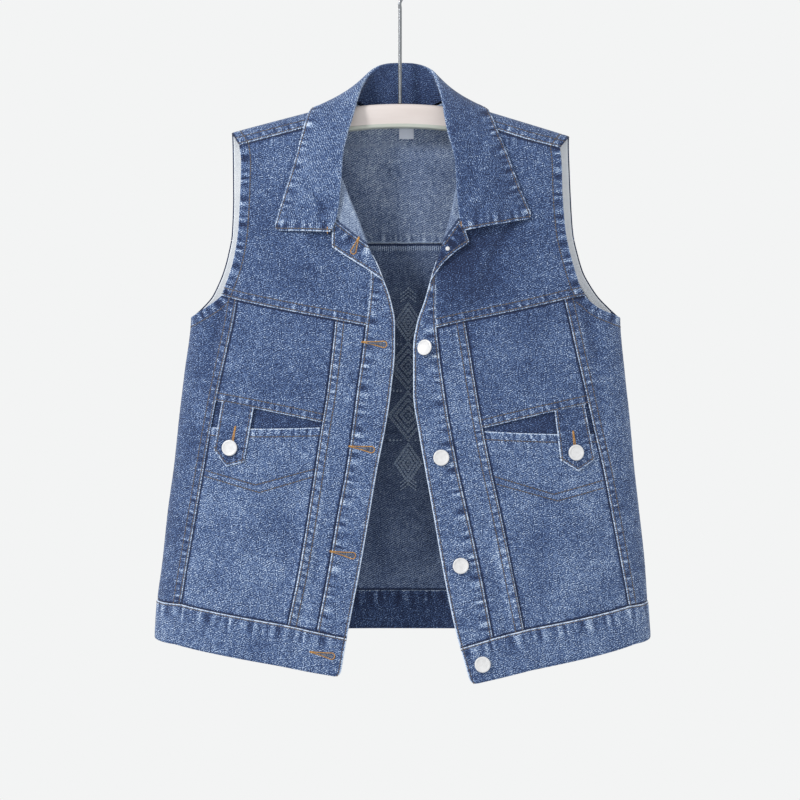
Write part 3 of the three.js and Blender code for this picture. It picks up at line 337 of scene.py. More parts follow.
# Creases of the worn cloth besides the large folds: a soft ridge, or a trough where the height
# is negative, along a slanted line of one face
CREASES = table(["face", "x", "z", "lean", "length", "width", "height"], [
    ["front", -106, -655, -0.18, 38, 4.0, 1.3],
    ["front", -92, -668, -0.2, 34, 3.4, -1.2],
    ["front", -98, -700, -0.15, 26, 3.6, 1.1],
    ["front", 116, -668, 0.2, 36, 4.2, 1.3],
    ["front", 128, -690, 0.18, 32, 3.6, -1.1],
    ["front", 101, -640, 0.22, 30, 3.4, 0.9],
    ["front", -196, -400, -0.25, 34, 5, -1.6],
    ["front", -212, -470, -0.12, 46, 5, 1.2],
    ["front", 205, -405, 0.25, 36, 5, -1.6],
    ["front", 222, -480, 0.14, 48, 6, 1.2],
    ["front", 88, -330, -0.5, 30, 6, 1.1],
    ["front", 112, -300, -0.6, 38, 8, -1.2],
    ["front", -96, -320, 0.5, 36, 9, 1.0],
    ["front", -140, -300, 0.35, 44, 11, -0.9],
    ["front", -120, -610, 0.1, 60, 12, -0.8],
    ["front", -172, -560, -0.1, 50, 10, 0.8],
    ["front", 150, -640, -0.08, 64, 13, -0.9],
    ["front", 190, -560, 0.1, 54, 11, 0.8],
    ["collar", -84, -270, 0.9, 15, 3.6, -3.4],
    ["collar", -92, -264, 0.9, 14, 3.6, 2.8],
    ["collar", -76, -276, 0.7, 12, 3.0, 2.0],
    ["collar", -86, -288, -0.2, 9, 2.6, -1.6],
    ["collar", -102, -212, 0.35, 30, 6, 0.9],
    ["collar", 80, -262, -0.8, 14, 3.0, 1.2],
    ["collar", 88, -270, -0.7, 14, 3.0, -1.2],
    ["collar", 92, -212, -0.3, 34, 6, 0.9],
    ["back", -28, -420, 0.12, 60, 9, 1.2],
    ["back", 44, -450, -0.1, 70, 10, -1.2],
    ["back", -96, -560, 0.08, 60, 10, 1.3],
    ["back", 120, -640, -0.06, 60, 10, 1.3],
    ["back", -20, -650, 0.05, 50, 9, -1.1],
    ["back", 60, -680, -0.1, 34, 6, 1.0],
    ["back", -70, -685, 0.1, 32, 6, -1.0],
    ["back", -30, -240, 0.5, 40, 12, 1.0],
    ["back", 60, -255, -0.5, 46, 12, 1.0],
    ["back", 130, -290, 0.4, 40, 9, -1.2],
    ["back", -140, -290, -0.4, 40, 9, -1.2],
])


# ---- The body form ----

def smooth(rows, key, column):
    """Cubic curve through a table's values whose slopes never overshoot; straight beyond it."""
    x, y = np.array(sorted((row[key], row[column]) for row in rows), float).T
    step = np.diff(y) / np.diff(x)
    before, after = step[:-1], step[1:]
    both = np.where(np.abs(before + after) < 1e-12, 1.0, before + after)
    inner = np.where(before * after <= 0, 0.0, 2 * before * after / both)
    slope = np.concatenate([step[:1], inner, step[-1:]])

    def at(value):
        v = np.asarray(value, float)
        i = np.clip(np.searchsorted(x, v, side="right") - 1, 0, len(x) - 2)
        h = x[i + 1] - x[i]
        u = np.clip((v - x[i]) / h, 0, 1)
        inside = (y[i] * (1 + 2 * u) * (1 - u) ** 2 + h * slope[i] * u * (1 - u) ** 2
                  + y[i + 1] * u * u * (3 - 2 * u) + h * slope[i + 1] * u * u * (u - 1))
        return (inside + slope[0] * np.minimum(v - x[0], 0)
                + slope[-1] * np.maximum(v - x[-1], 0))
    return at


front_depth = smooth(DEPTH, "fall", "front")
back_depth = smooth(DEPTH, "fall", "back")
half_widths = {-1: smooth(WIDTH, "z", "left"), 1: smooth(WIDTH, "z", "right")}


def mix(a, b, u):
    """The blend of a and b at u."""
    return a + (b - a) * u


def unit(v):
    """Vectors made one long."""
    return v / np.maximum(np.linalg.norm(v, axis=-1, keepdims=True), 1e-9)


def half_width(sign, z):
    """Half width of the body at a height, left or right by the sign of x."""
    sign, z = np.asarray(sign), np.asarray(z, float)
    return np.where(sign < 0, half_widths[-1](z), half_widths[1](z))


def shoulder_height(x):
    """Height of the shoulder line: a hyperbola over the neck with a slope on each side."""
    slope = mix(SHOULDER["left"], SHOULDER["right"], 0.5 + 0.5 * np.tanh(x / SHOULDER["round"]))
    reach = math.hypot(SHOULDER["x"], SHOULDER["round"])
    return SHOULDER["z"] + slope * (reach - np.hypot(x, SHOULDER["round"]))


def fold_height(face, x, z, rows=FOLDS):
    """Sum of soft folds: each is a bell across its slanted line that fades along it."""
    total = np.zeros(np.broadcast(x, z).shape)
    for row in rows:
        if row["face"] == face:
            along = z - row["z"]
            across = x - row["x"] + row["lean"] * along
            total = total + row["height"] * np.exp(
                -(across / row["width"]) ** 2 - (along / row["length"]) ** 2)
    return total


def body_point(face, sign, t, z):
    """x = half width * sin(90 degrees * t); y = depth at that height, rounded off to the side."""
    s = np.sin(np.pi / 2 * t)
    x = sign * half_width(sign, z) * s
    fall = np.sqrt(np.maximum(shoulder_height(x) - z, 0))
    rounding = np.sqrt(np.maximum(1 - np.abs(s) ** SIDE_ROUNDING, 0))
    depth = front_depth(fall) if face == "front" else back_depth(fall)
    out = (depth + fold_height(face, x, z)) * rounding
    return np.stack([x, -out if face == "front" else out, z + 0 * x], -1)


def shoulder_point(x, fall):
    """Cloth over the shoulders: z = shoulder line - fall squared, front or back by its sign."""
    z = shoulder_height(x) - fall ** 2
    share = np.abs(x) / half_width(np.where(x < 0, -1, 1), z)
    rounding = np.sqrt(np.maximum(1 - share ** SIDE_ROUNDING, 0))
    in_front = fall > 0
    near = np.minimum(np.abs(fall) / 6, 1)
    out_front = (front_depth(np.abs(fall)) + fold_height("front", x, z) * near) * rounding
    out_back = (back_depth(np.abs(fall)) + fold_height("back", x, z) * near) * rounding
    return np.stack([x, np.where(in_front, -out_front, out_back), z], -1)


def across(sign, x, z):
    """Share t of a point at distance x from the middle, the inverse of body_point's x."""
    share = np.minimum(np.abs(x) / half_width(sign, z), 1)
    return 2 / np.pi * np.arcsin(share)


def fall_at(x, z):
    """Square root of the height below the shoulder line."""
    return np.sqrt(np.maximum(shoulder_height(x) - z, 0))


# ---- Edges of the pieces, as dense lines of two values ----

def steps_of(count):
    """Even shares from 0 to 1, with FINE of them to a step."""
    return np.linspace(0, 1, count * FINE + 1)


def line(a, b):
    """Two arrays as one line of pairs."""
    a, b = np.broadcast_arrays(np.asarray(a, float), np.asarray(b, float))
    return np.stack([a, b], -1)


def chain(*parts):
    """Lines joined end to end, without the doubled points."""
    return np.concatenate([part if k == 0 else part[1:] for k, part in enumerate(parts)])


def blend(start, end, count):
    """Straight line between two pairs."""
    u = steps_of(count)[:, None]
    return mix(np.asarray(start, float), np.asarray(end, float), u)


class Front:
    """Seam lines of one front as [t, z] pairs on the body form."""

    def __init__(self, side):
        self.side, self.sign = side, SIGN[side]
        self.seam = {name: smooth(SEAM_ROWS[side], "z", name)
                     for name in ("outer", "inner", "placket", "edge")}
        self.level = LEVELS[side]
        self.neck = smooth(NECK[side], "z", "x")
        self.hole = {face: smooth(ARMHOLE[side], "z", face) for face in ("front", "back")}

    def place(self, x, z):
        return line(across(self.sign, x, z), z)

    def point(self, t, z):
        return body_point("front", self.sign, t, z)

    def upright(self, name, start, end, count):
        z = mix(start, end, steps_of(count))
        return self.place(self.seam[name](z), z)

    def crossing(self, row, start, end, count, sag=0.0):
        heights = self.level[row]
        ends = [np.array([1.0, heights["side"]]) if name == "side"
                else self.place(self.seam[name](heights[name]), heights[name])
                for name in (start, end)]
        u = steps_of(count)
        pairs = mix(ends[0], ends[1], u[:, None])
        pairs[:, 1] -= sag * 4 * u * (1 - u)
        return pairs

    def armhole(self, face, start, end, count):
        z = mix(start, end, steps_of(count))
        return self.place(self.hole[face](z), z)

    def down(self, name):
        yoke, band = self.level["yoke"][name], self.level["band"][name]
        panel = self.level["panel"][name] or mix(yoke, band, 0.33)
        mouth = self.level["mouth"][name] or mix(yoke, band, 0.37)
        return chain(self.upright(name, yoke, panel, STEPS["upper"]),
                     self.upright(name, panel, mouth, STEPS["wedge"]),
                     self.upright(name, mouth, band, STEPS["lower"]))


FRONTS = {side: Front(side) for side in SIDES}


# ---- Sewn pieces ----

# What is sewn along an edge. strip: raised double cloth; rows: stitch rows, in from the edge;
# pucker, reach, pitch: height, width and spacing of the gathers that the rows pull; pale: worn
# colour of the edge; under: shadow where the neighbour lies on top
SEAMS = {row["kind"]: row for row in table(
    ["kind", "strip", "rows", "pucker", "reach", "pitch", "pale", "under"], [
        ["plain", 0, [], 0, 6, 10, 0, 0],
        ["felled", 10.5, [1.9, 8.8], 0.5, 5, 6.5, 0.5, 0],
        ["under", 0, [], 0.16, 4, 8, 0, 1.0],
        ["placket_seam", 0, [2.3], 0.65, 6.5, 10.5, 0.55, 0],
        ["turned", 0, [2.6], 0.25, 5, 9, 1.0, 0],
        ["tab", 0, [2.6], 0.3, 5, 9, 0.8, 0],
        ["mouth", 0, [8.6], 0.55, 6, 6.5, 0.7, 0],
        ["band_top", 0, [1.9], 0.52, 9, 11.5, 0.8, 0],
        ["band_hem", 0, [], 0.12, 6, 9, 0.3, 0.3],
        ["collar", 0, [2.4], 0.65, 6, 10, 0.6, 0],
        ["fold", 0, [], 0.1, 6, 12, 0.3, 0],
        ["hem_side", 0, [], 0.1, 5, 10, 0.2, 0.3],
        ["armhole", 0, [10.5], 0.6, 6, 10.5, 0.25, 0],
        ["armhole_back", 0, [9.5], 0.2, 7, 10.5, 0, 0.9],
        ["tape", 0, [1.6], 0.15, 5, 9, 0, 0],
    ])}
EDGES = ("top", "bottom", "left", "right")


def ripple(s, seed, pitch):
    """Uneven wave along a seam: a sine whose phase and height wander with slower sines."""
    a, b, c = (math.modf(seed * k)[0] * 6.283 for k in (0.618, 0.755, 0.569))
    phase = 6.283 * s / pitch + 1.5 * np.sin(6.283 * s / (pitch * 3.7) + a) + b
    return np.sin(phase) * (0.62 + 0.38 * np.sin(6.283 * s / (pitch * 2.3) + c))


def to_line(points, path):
    """Distance of each point from a path, and how far along the path its nearest point is."""
    start, run = path[:-1], np.diff(path, axis=0)
    length = np.linalg.norm(run, axis=1)
    along = np.concatenate([[0], np.cumsum(length)])
    flat = points.reshape(-1, 3)
    best = np.full(len(flat), np.inf)
    where = np.zeros(len(flat))
    for k in range(len(run)):
        if length[k] < 1e-9:
            continue
        u = np.clip((flat - start[k]) @ run[k] / length[k] ** 2, 0, 1)
        gap = np.linalg.norm(flat - start[k] - u[:, None] * run[k], axis=1)
        closer = gap < best
        best[closer] = gap[closer]
        where[closer] = along[k] + u[closer] * length[k]
    return best.reshape(points.shape[:-1]), where.reshape(points.shape[:-1])


def spaced(lengths, gap):
    """Stations along a line in steps: close at both ends, where the edge is rounded, else even."""
    whole = lengths[-1]
    close = CLOSE if whole >= 9 else CLOSE[:3]
    inner = np.linspace(close[-1], whole - close[-1],
                        max(int(round((whole - 2 * close[-1]) / gap)), 1) + 1)
    stations = np.concatenate([close[:-1], inner, whole - np.array(close[:-1])[::-1]])
    return np.interp(stations, lengths, np.arange(len(lengths)) / FINE)


def sample(edge, at):
    """Points of a dense line at places counted in steps."""
    index = np.arange(len(edge)) / FINE
    return np.stack([np.interp(at, index, edge[:, k]) for k in (0, 1)], -1)


def lengths_of(point, pairs):
    """Running length of a line of pairs once it lies on the form."""
    placed = point(pairs[:, 0], pairs[:, 1])
    return np.concatenate([[0], np.cumsum(np.linalg.norm(np.diff(placed, axis=0), axis=1))])


def slopes(point, a, b, limit):
    """Direction out of the form: the cross product of its two slopes, one-sided at the side."""
    step = 0.002
    low = np.where(np.abs(a) > limit - step, a - 2 * step * np.sign(a), a - step)
    high = np.where(np.abs(a) > limit - step, a, a + step)
    du = point(high, b) - point(low, b)
    dv = point(a, b + step * 60) - point(a, b - step * 60)
    return unit(np.cross(du, dv))


def round_corner(base, dist, side, radius):
    """Draws a grid's bottom corner in: the square by the corner is mapped to a quarter disc."""
    column, step = (0, 3) if side == "left" else (-1, -4)
    corner = base[-1, column]
    ways = [base[-1, step] - corner, base[-4, column] - corner]
    u, v = (np.clip(1 - dist[edge] / radius, 0, 1) for edge in (side, "bottom"))
    moves = (u - u * np.sqrt(1 - v * v / 2), v - v * np.sqrt(1 - u * u / 2))
    return base + sum(radius * move[..., None] * unit(way) for move, way in zip(moves, ways))


# What sewing does to the cloth, in mm: double cloth at a felled seam stands up, a stitch row
# sinks in, and an edge goes down under its neighbour; EDGE_RADIUS rounds every edge
STRIP_RISE = 0.55
ROW_GROOVE = 0.25
COVERED_DIP = 0.35
EDGE_RADIUS = 0.95


class Piece:
    """One sewn piece: a grid on the form, its distances to its edges, and its two faces."""

    def __init__(self, base, outward, seams, lift=0.0, wall=CLOTH, tone=0.0, seed=1.0,
                 creases=0.0, inside=0.0, split=0, corners=()):
        # inside: painted light and shade added to the inner face only
        self.wall, self.tone, self.inside = wall, tone, inside
        share = bpy.context.scene.vest_cloth.pucker
        self.dist, self.along = {}, {}
        borders = {"top": base[0], "bottom": base[-1], "left": base[:, 0], "right": base[:, -1]}
        kinds = {edge: SEAMS[seams[edge]] for edge in EDGES}
        if split:
            borders["top"], borders["beyond"] = base[0, :split + 1], base[0, split:]
            kinds["beyond"] = SEAMS["under"]
        for edge in borders:
            self.dist[edge], self.along[edge] = to_line(base, borders[edge])
        for side in corners:
            base = round_corner(base, self.dist, side, CORNER)
        pale, under, gather = (np.zeros(base.shape[:2]) for _ in range(3))
        height = np.zeros(base.shape[:2]) + lift
        nearest = np.full(base.shape[:2], np.inf)
        for number, (edge, kind) in enumerate(kinds.items()):
            d, s = self.dist[edge], self.along[edge]
            nearest = np.minimum(nearest, d)
            if kind["strip"]:
                height = height + STRIP_RISE / (1 + np.exp((d - kind["strip"]) / 0.6))
                pale = np.maximum(pale, 0.22 * np.exp(-((d - kind["strip"]) / 0.8) ** 2))
            middle = 0.45 * kind["strip"] if kind["strip"] else 0.7 * kind["reach"]
            envelope = np.exp(-((d - middle) / kind["reach"]) ** 2)
            wave = ripple(s, seed + 3.1 * number, kind["pitch"]) * envelope * share
            height = height + kind["pucker"] * wave
            gather = gather + wave * min(kind["pucker"] * 2.4, 1.5)
            for row in kind["rows"]:
                height = height - ROW_GROOVE * np.exp(-((d - row) / 0.9) ** 2)
            pale = np.maximum(pale, kind["pale"] * np.clip(1.5 - d, 0, 1))
            under = np.maximum(under, kind["under"] * np.clip(2.8 - d, 0, 1.6) / 1.6)
            height = height - COVERED_DIP * kind["under"] * np.exp(-(d / 2.2) ** 2)
        height = height + creases
        # The creases are painted into the colour too: lighter ridges, partly the denim's wear and
        # partly painted light, and troughs painted dark as shade
        gather = gather + 0.3 * creases
        r = min(wall / 2, EDGE_RADIUS)
        inset = np.clip(r - nearest, 0, r)
        drop = r - np.sqrt(np.maximum(r * r - inset * inset, 0))
        self.normal = outward
        self.outer = base + outward * (height - drop)[..., None]
        self.inner = base + outward * (height - wall + drop)[..., None]
        self.marks = {"pale": pale, "under": under, "gather": np.clip(gather, -1.5, 1.5)}

    def inset(self, edge, d):
        """Points and normals of the outer face at distance d in from an edge."""
        dist, outer, normal = self.dist[edge], self.outer, self.normal
        if edge in ("top", "bottom"):
            dist, outer, normal = dist.T, outer.swapaxes(0, 1), normal.swapaxes(0, 1)
        if edge in ("right", "bottom"):
            dist, outer, normal = dist[:, ::-1], outer[:, ::-1], normal[:, ::-1]
        k = np.argmax(dist >= d, axis=1)
        rows = np.nonzero(k > 0)[0]
        k = k[rows]
        near, far = dist[rows, k - 1], dist[rows, k]
        f = ((d - near) / np.maximum(far - near, 1e-9))[:, None]
        return [mix(values[rows, k - 1], values[rows, k], f) for values in (outer, normal)]

    def under(self, x, z):
        """Point and normal of the outer face at x and z, from the four nearest grid points."""
        flat, normals = self.outer.reshape(-1, 3), self.normal.reshape(-1, 3)
        gap = (flat[None, :, 0] - np.asarray(x)[:, None]) ** 2 + (
            flat[None, :, 2] - np.asarray(z)[:, None]) ** 2
        near = np.argsort(gap, axis=1)[:, :4]
        w = 1 / (np.take_along_axis(gap, near, 1) + 0.05)
        w = w / w.sum(1, keepdims=True)
        y = (flat[near, 1] * w).sum(1)
        return np.stack([x, y, z], -1), unit((normals[near] * w[..., None]).sum(1))


def form_piece(point, toward, edges, seams, gap=3.0, lift=0.0, face="front", limit=1.0, split=0,
               **more):
    """Piece inside four edges of the form: a grid blended between opposite edges."""
    gap = gap * bpy.context.scene.vest_cloth.spacing / SPACING
    columns = len(edges["top"]) // FINE
    rows = len(edges["left"]) // FINE
    wide = max((lengths_of(point, edges[k]) for k in ("top", "bottom")), key=lambda s: s[-1])
    tall = max((lengths_of(point, edges[k]) for k in ("left", "right")), key=lambda s: s[-1])
    c, r = spaced(wide, gap), spaced(tall, gap)
    u, v = (c / columns)[None, :, None], (r / rows)[:, None, None]
    top, bottom = sample(edges["top"], c)[None], sample(edges["bottom"], c)[None]
    left, right = sample(edges["left"], r)[:, None], sample(edges["right"], r)[:, None]
    pairs = (mix(top, bottom, v) + mix(left, right, u)
             - mix(mix(top[:, :1], top[:, -1:], u), mix(bottom[:, :1], bottom[:, -1:], u), v))
    a, b = pairs[..., 0], pairs[..., 1]
    base = point(a, b)
    normal = slopes(point, a, b, limit)
    normal = normal * np.where((normal * toward(base)).sum(-1, keepdims=True) < 0, -1, 1)
    x, z = base[..., 0], base[..., 2]
    creases = fold_height(face, x, z, CREASES)
    near_side = np.sqrt(np.clip(1 - np.minimum(
        np.abs(x) / half_width(np.where(x < 0, -1, 1), z), 1) ** 6, 0, 1))
    rise = lift(u[..., 0], v[..., 0]) if callable(lift) else lift
    piece = Piece(base, normal, seams, rise, creases=creases * near_side,
                  split=int(np.searchsorted(c, split)), **more)
    piece.flat = flat_coords(base, face)
    return piece


def flat_coords(base, face):
    """Place of each point in the flat cloth, in metres: girth from the middle, and height."""
    x, z = base[..., 0], base[..., 2]
    sign = np.where(x < 0, -1, 1)
    t = across(sign, x, z)
    shares = np.linspace(0, 1, 17)
    s = np.sin(np.pi / 2 * t[..., None] * shares)
    width = half_width(sign, z)[..., None]
    deep = (front_depth if face == "front" else back_depth)(fall_at(x, z))[..., None]
    run = np.hypot(np.diff(width * s, axis=-1),
                   np.diff(deep * np.sqrt(np.maximum(1 - s ** SIDE_ROUNDING, 0)), axis=-1)).sum(-1)
    beside = GIRTH if face == "back" else 0
    return np.stack([sign * run + beside, z + 0.35 * np.where(z > -200, base[..., 1], 0)], -1) * MM


def wall_mesh(piece, name, nodes, slot, materials):
    """Closed wall between a piece's two faces, with its marks as point attributes."""
    outer, inner = piece.outer, piece.inner
    rows, columns = outer.shape[:2]
    points = np.concatenate([outer.reshape(-1, 3), inner.reshape(-1, 3)])
    at = np.arange(rows * columns).reshape(rows, columns)
    a, b, c, d = at[:-1, :-1], at[1:, :-1], at[1:, 1:], at[:-1, 1:]
    quads = np.stack([a, b, c, d], -1).reshape(-1, 4)
    mid = outer[rows // 2, columns // 2]
    du = outer[rows // 2, min(columns // 2 + 1, columns - 1)] - mid
    dv = outer[min(rows // 2 + 1, rows - 1), columns // 2] - mid
    turned = np.dot(np.cross(dv, du), piece.normal[rows // 2, columns // 2]) < 0
    if turned:
        quads = quads[:, ::-1]
    back = quads[:, ::-1] + rows * columns
    ring = np.concatenate([at[0, :-1], at[:-1, -1], at[-1, :0:-1], at[:0:-1, 0]])
    after = np.roll(ring, -1)
    rim = np.stack([ring, after, after + rows * columns, ring + rows * columns], -1)
    if turned:
        rim = rim[:, ::-1]
    faces = np.concatenate([quads, back, rim])
    index = np.concatenate([np.zeros(len(quads)), np.ones(len(back)), np.zeros(len(rim))])
    flat = np.concatenate([piece.flat.reshape(-1, 2)] * 2)
    marks = {key: np.concatenate([value.ravel()] * 2) for key, value in piece.marks.items()}
    # Per-piece tone plus the painted light and shade by place; the inner face adds its own painted
    # light and shade
    shade = piece.tone + piece.shade.ravel()
    marks["tone"] = np.concatenate([shade, shade + piece.inside])
    return make_object(name, points, faces, nodes, slot, materials, index, flat, marks)


def make_object(name, points, faces, nodes, slot, materials, index=None, flat=None, marks=None,
                smooth_faces=True):
    """Mesh object in metres from points in millimetres, riding on the body."""
    mesh = bpy.data.meshes.new(name)
    sides = faces.shape[1]
    mesh.vertices.add(len(points))
    mesh.vertices.foreach_set("co", (points * MM).astype(np.float32).ravel())
    mesh.loops.add(faces.size)
    mesh.loops.foreach_set("vertex_index", faces.astype(np.int32).ravel())
    mesh.polygons.add(len(faces))
    mesh.polygons.foreach_set("loop_start", np.arange(0, faces.size, sides, dtype=np.int32))
    mesh.polygons.foreach_set("use_smooth", np.full(len(faces), smooth_faces))
    for material in materials:
        mesh.materials.append(material)
    if index is not None:
        mesh.polygons.foreach_set("material_index", index.astype(np.int32))
    if flat is not None:
        layer = mesh.uv_layers.new(name="flat")
        layer.data.foreach_set("uv", flat[faces.ravel()].astype(np.float32).ravel())
    for key, values in (marks or {}).items():
        mesh.attributes.new(key, "FLOAT", "POINT").data.foreach_set(
            "value", values.astype(np.float32))
    mesh.update(calc_edges=True)
    mesh.validate()
    obj = bpy.data.objects.new(name, mesh)
    bpy.context.scene.collection.objects.link(obj)
    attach(obj, "root")
    if nodes:
        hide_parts(*nodes)
    return obj


# ---- Materials ----

def add(tree, kind, settings=None, **inputs):
    """Adds a node, sets its properties, and sets or links its inputs by name or number."""
    node = tree.nodes.new(kind)
    for key, value in (settings or {}).items():
        setattr(node, key, value)
    for key, value in inputs.items():
        socket = node.inputs[int(key[1:])] if key[0] == "i" and key[1:].isdigit() else (
            node.inputs[key.replace("_", " ")])
        if isinstance(value, bpy.types.NodeSocket):
            tree.links.new(value, socket)
        else:
            socket.default_value = value
    return node


def ramp(tree, factor, stops):
    """Colour ramp from (place, hex colour) stops."""
    node = add(tree, "ShaderNodeValToRGB", i0=factor)
    elements = node.color_ramp.elements
    while len(elements) < len(stops):
        elements.new(0.5)
    for element, (place, code) in zip(elements, stops):
        element.position = place
        element.color = linear(code) if isinstance(code, str) else code
    return node.outputs["Color"]


def total(tree, *terms):
    """Sum of (socket, weight, middle) terms: weight * (socket - middle), added up."""
    result = None
    for socket, weight, middle in terms:
        part = add(tree, "ShaderNodeMath", {"operation": "MULTIPLY_ADD"}, i0=socket, i1=weight,
                   i2=-weight * middle).outputs[0]
        result = part if result is None else add(
            tree, "ShaderNodeMath", {"operation": "ADD"}, i0=result, i1=part).outputs[0]
    return result


def new_material(name, **shader_values):
    """A material with a Principled shader, its uniform values on the shader's own sockets."""
    material = bpy.data.materials.new(name)
    material.use_nodes = True
    tree = material.node_tree
    tree.nodes.clear()
    shader = add(tree, "ShaderNodeBsdfPrincipled")
    for key, value in shader_values.items():
        shader.inputs[key.replace("_", " ")].default_value = value
    output = add(tree, "ShaderNodeOutputMaterial")
    tree.links.new(shader.outputs[0], output.inputs[0])
    return material, tree, shader


def denim_material(name, stops, base, speckle, twill, worn, bump):
    """Washed indigo twill: speckled blue and pale threads, warp streaks, faded and worn edges."""
    material, tree, shader = new_material(
        name, Roughness=0.92, Specular_IOR_Level=0.2, Sheen_Weight=0.12, Sheen_Roughness=0.6)
    uv = add(tree, "ShaderNodeUVMap", {"uv_map": "flat"}).outputs[0]
    mark = {key: add(tree, "ShaderNodeAttribute", {"attribute_name": key}).outputs["Fac"]
            for key in ("pale", "under", "gather", "tone")}
    # Yarns are 0.5 mm, finer than a pixel of the render; the speckle is drawn at 1.2 mm
    grain = add(tree, "ShaderNodeTexNoise", Vector=uv, Scale=830.0, Detail=0.0)
    # Twill lines of 3-and-1 cloth, drawn 2 mm apart where the real ones are 1 mm
    turned = add(tree, "ShaderNodeMapping", Vector=uv, Rotation=(0, 0, math.radians(62)))
    lines = add(tree, "ShaderNodeTexWave", Vector=turned.outputs[0], Scale=157.0, Distortion=5.0,
                Detail=2.0, Detail_Scale=1.6)
    # Uneven warp yarns: streaks of 2.5 by 12 mm
    stretched = add(tree, "ShaderNodeMapping", Vector=uv, Scale=(400.0, 85.0, 1.0))
    streak = add(tree, "ShaderNodeTexNoise", Vector=stretched.outputs[0], Scale=1.0, Detail=2.0)
    # Wash fading in clouds of about 40 mm, and blotches of 7 mm
    cloud = add(tree, "ShaderNodeTexNoise", Vector=uv, Scale=25.0, Detail=2.0)
    blotch = add(tree, "ShaderNodeTexNoise", Vector=uv, Scale=150.0, Detail=2.0)
    # The worn edge breaks up along the yarns
    broken = add(tree, "ShaderNodeMath", {"operation": "MULTIPLY_ADD"}, i0=grain.outputs[0],
                 i1=0.5, i2=0.75).outputs[0]
    edge = add(tree, "ShaderNodeMath", {"operation": "MULTIPLY"}, i0=mark["pale"], i1=broken)
    # Puckers and creases: paler on their ridges where the denim wears, and darker in their hollows,
    # partly wear and partly painted shade
    gathered = add(tree, "ShaderNodeMath", {"operation": "MULTIPLY_ADD"}, i0=blotch.outputs[0],
                   i1=1.4, i2=0.1).outputs[0]
    ridge = add(tree, "ShaderNodeMath", {"operation": "MULTIPLY"}, i0=mark["gather"], i1=gathered)
    value = total(
        tree, (grain.outputs[0], speckle, 0.5), (lines.outputs[1], twill, 0.5),
        (streak.outputs[0], 0.34, 0.5), (cloud.outputs[0], 0.3, 0.5),
        (blotch.outputs[0], 0.36, 0.5), (mark["tone"], 1.0, -base), (edge.outputs[0], worn, 0.0),
        (ridge.outputs[0], 0.36, 0.0), (mark["under"], -0.6, 0.0))
    tree.links.new(ramp(tree, value, stops), shader.inputs["Base Color"])
    relief = total(tree, (grain.outputs[0], 0.6, 0.5), (lines.outputs[1], 0.4, 0.5))
    normal = add(tree, "ShaderNodeBump", Height=relief, Strength=bump, Distance=0.0005)
    tree.links.new(normal.outputs[0], shader.inputs["Normal"])
    return material


def mottled(name, dark, light, scale, detail=2.0, stretch=None, bump=0.0, **shader_values):
    """A finish in two tones of soft noise on Object coordinates."""
    material, tree, shader = new_material(name, **shader_values)
    where = add(tree, "ShaderNodeTexCoord").outputs["Object"]
    if stretch:
        where = add(tree, "ShaderNodeMapping", Vector=where, Scale=stretch).outputs[0]
    noise = add(tree, "ShaderNodeTexNoise", Vector=where, Scale=scale, Detail=detail).outputs[0]
    tree.links.new(ramp(tree, noise, [(0.3, dark), (0.7, light)]), shader.inputs["Base Color"])
    if bump:
        relief = add(tree, "ShaderNodeBump", Height=noise, Strength=bump, Distance=0.0003)
        tree.links.new(relief.outputs[0], shader.inputs["Normal"])
    return material


RIGHT_STOPS = [(0.2, "#203154"), (0.42, "#394e75"), (0.6, "#5a7098"), (0.8, "#94a7c0")]
WRONG_STOPS = [(0.0, "#1a2744"), (0.3, "#384868"), (0.55, "#5f7090"), (0.8, "#8d9cb5"),
               (1.0, "#c0cbd9")]
WRONG_SIDE_LIT_STOPS = [(0.0, "#2c3a58"), (0.3, "#566583"), (0.6, "#8595ad"), (0.85, "#aab7c8"),
                (1.0, "#d5dce4")]
MATERIALS = {}


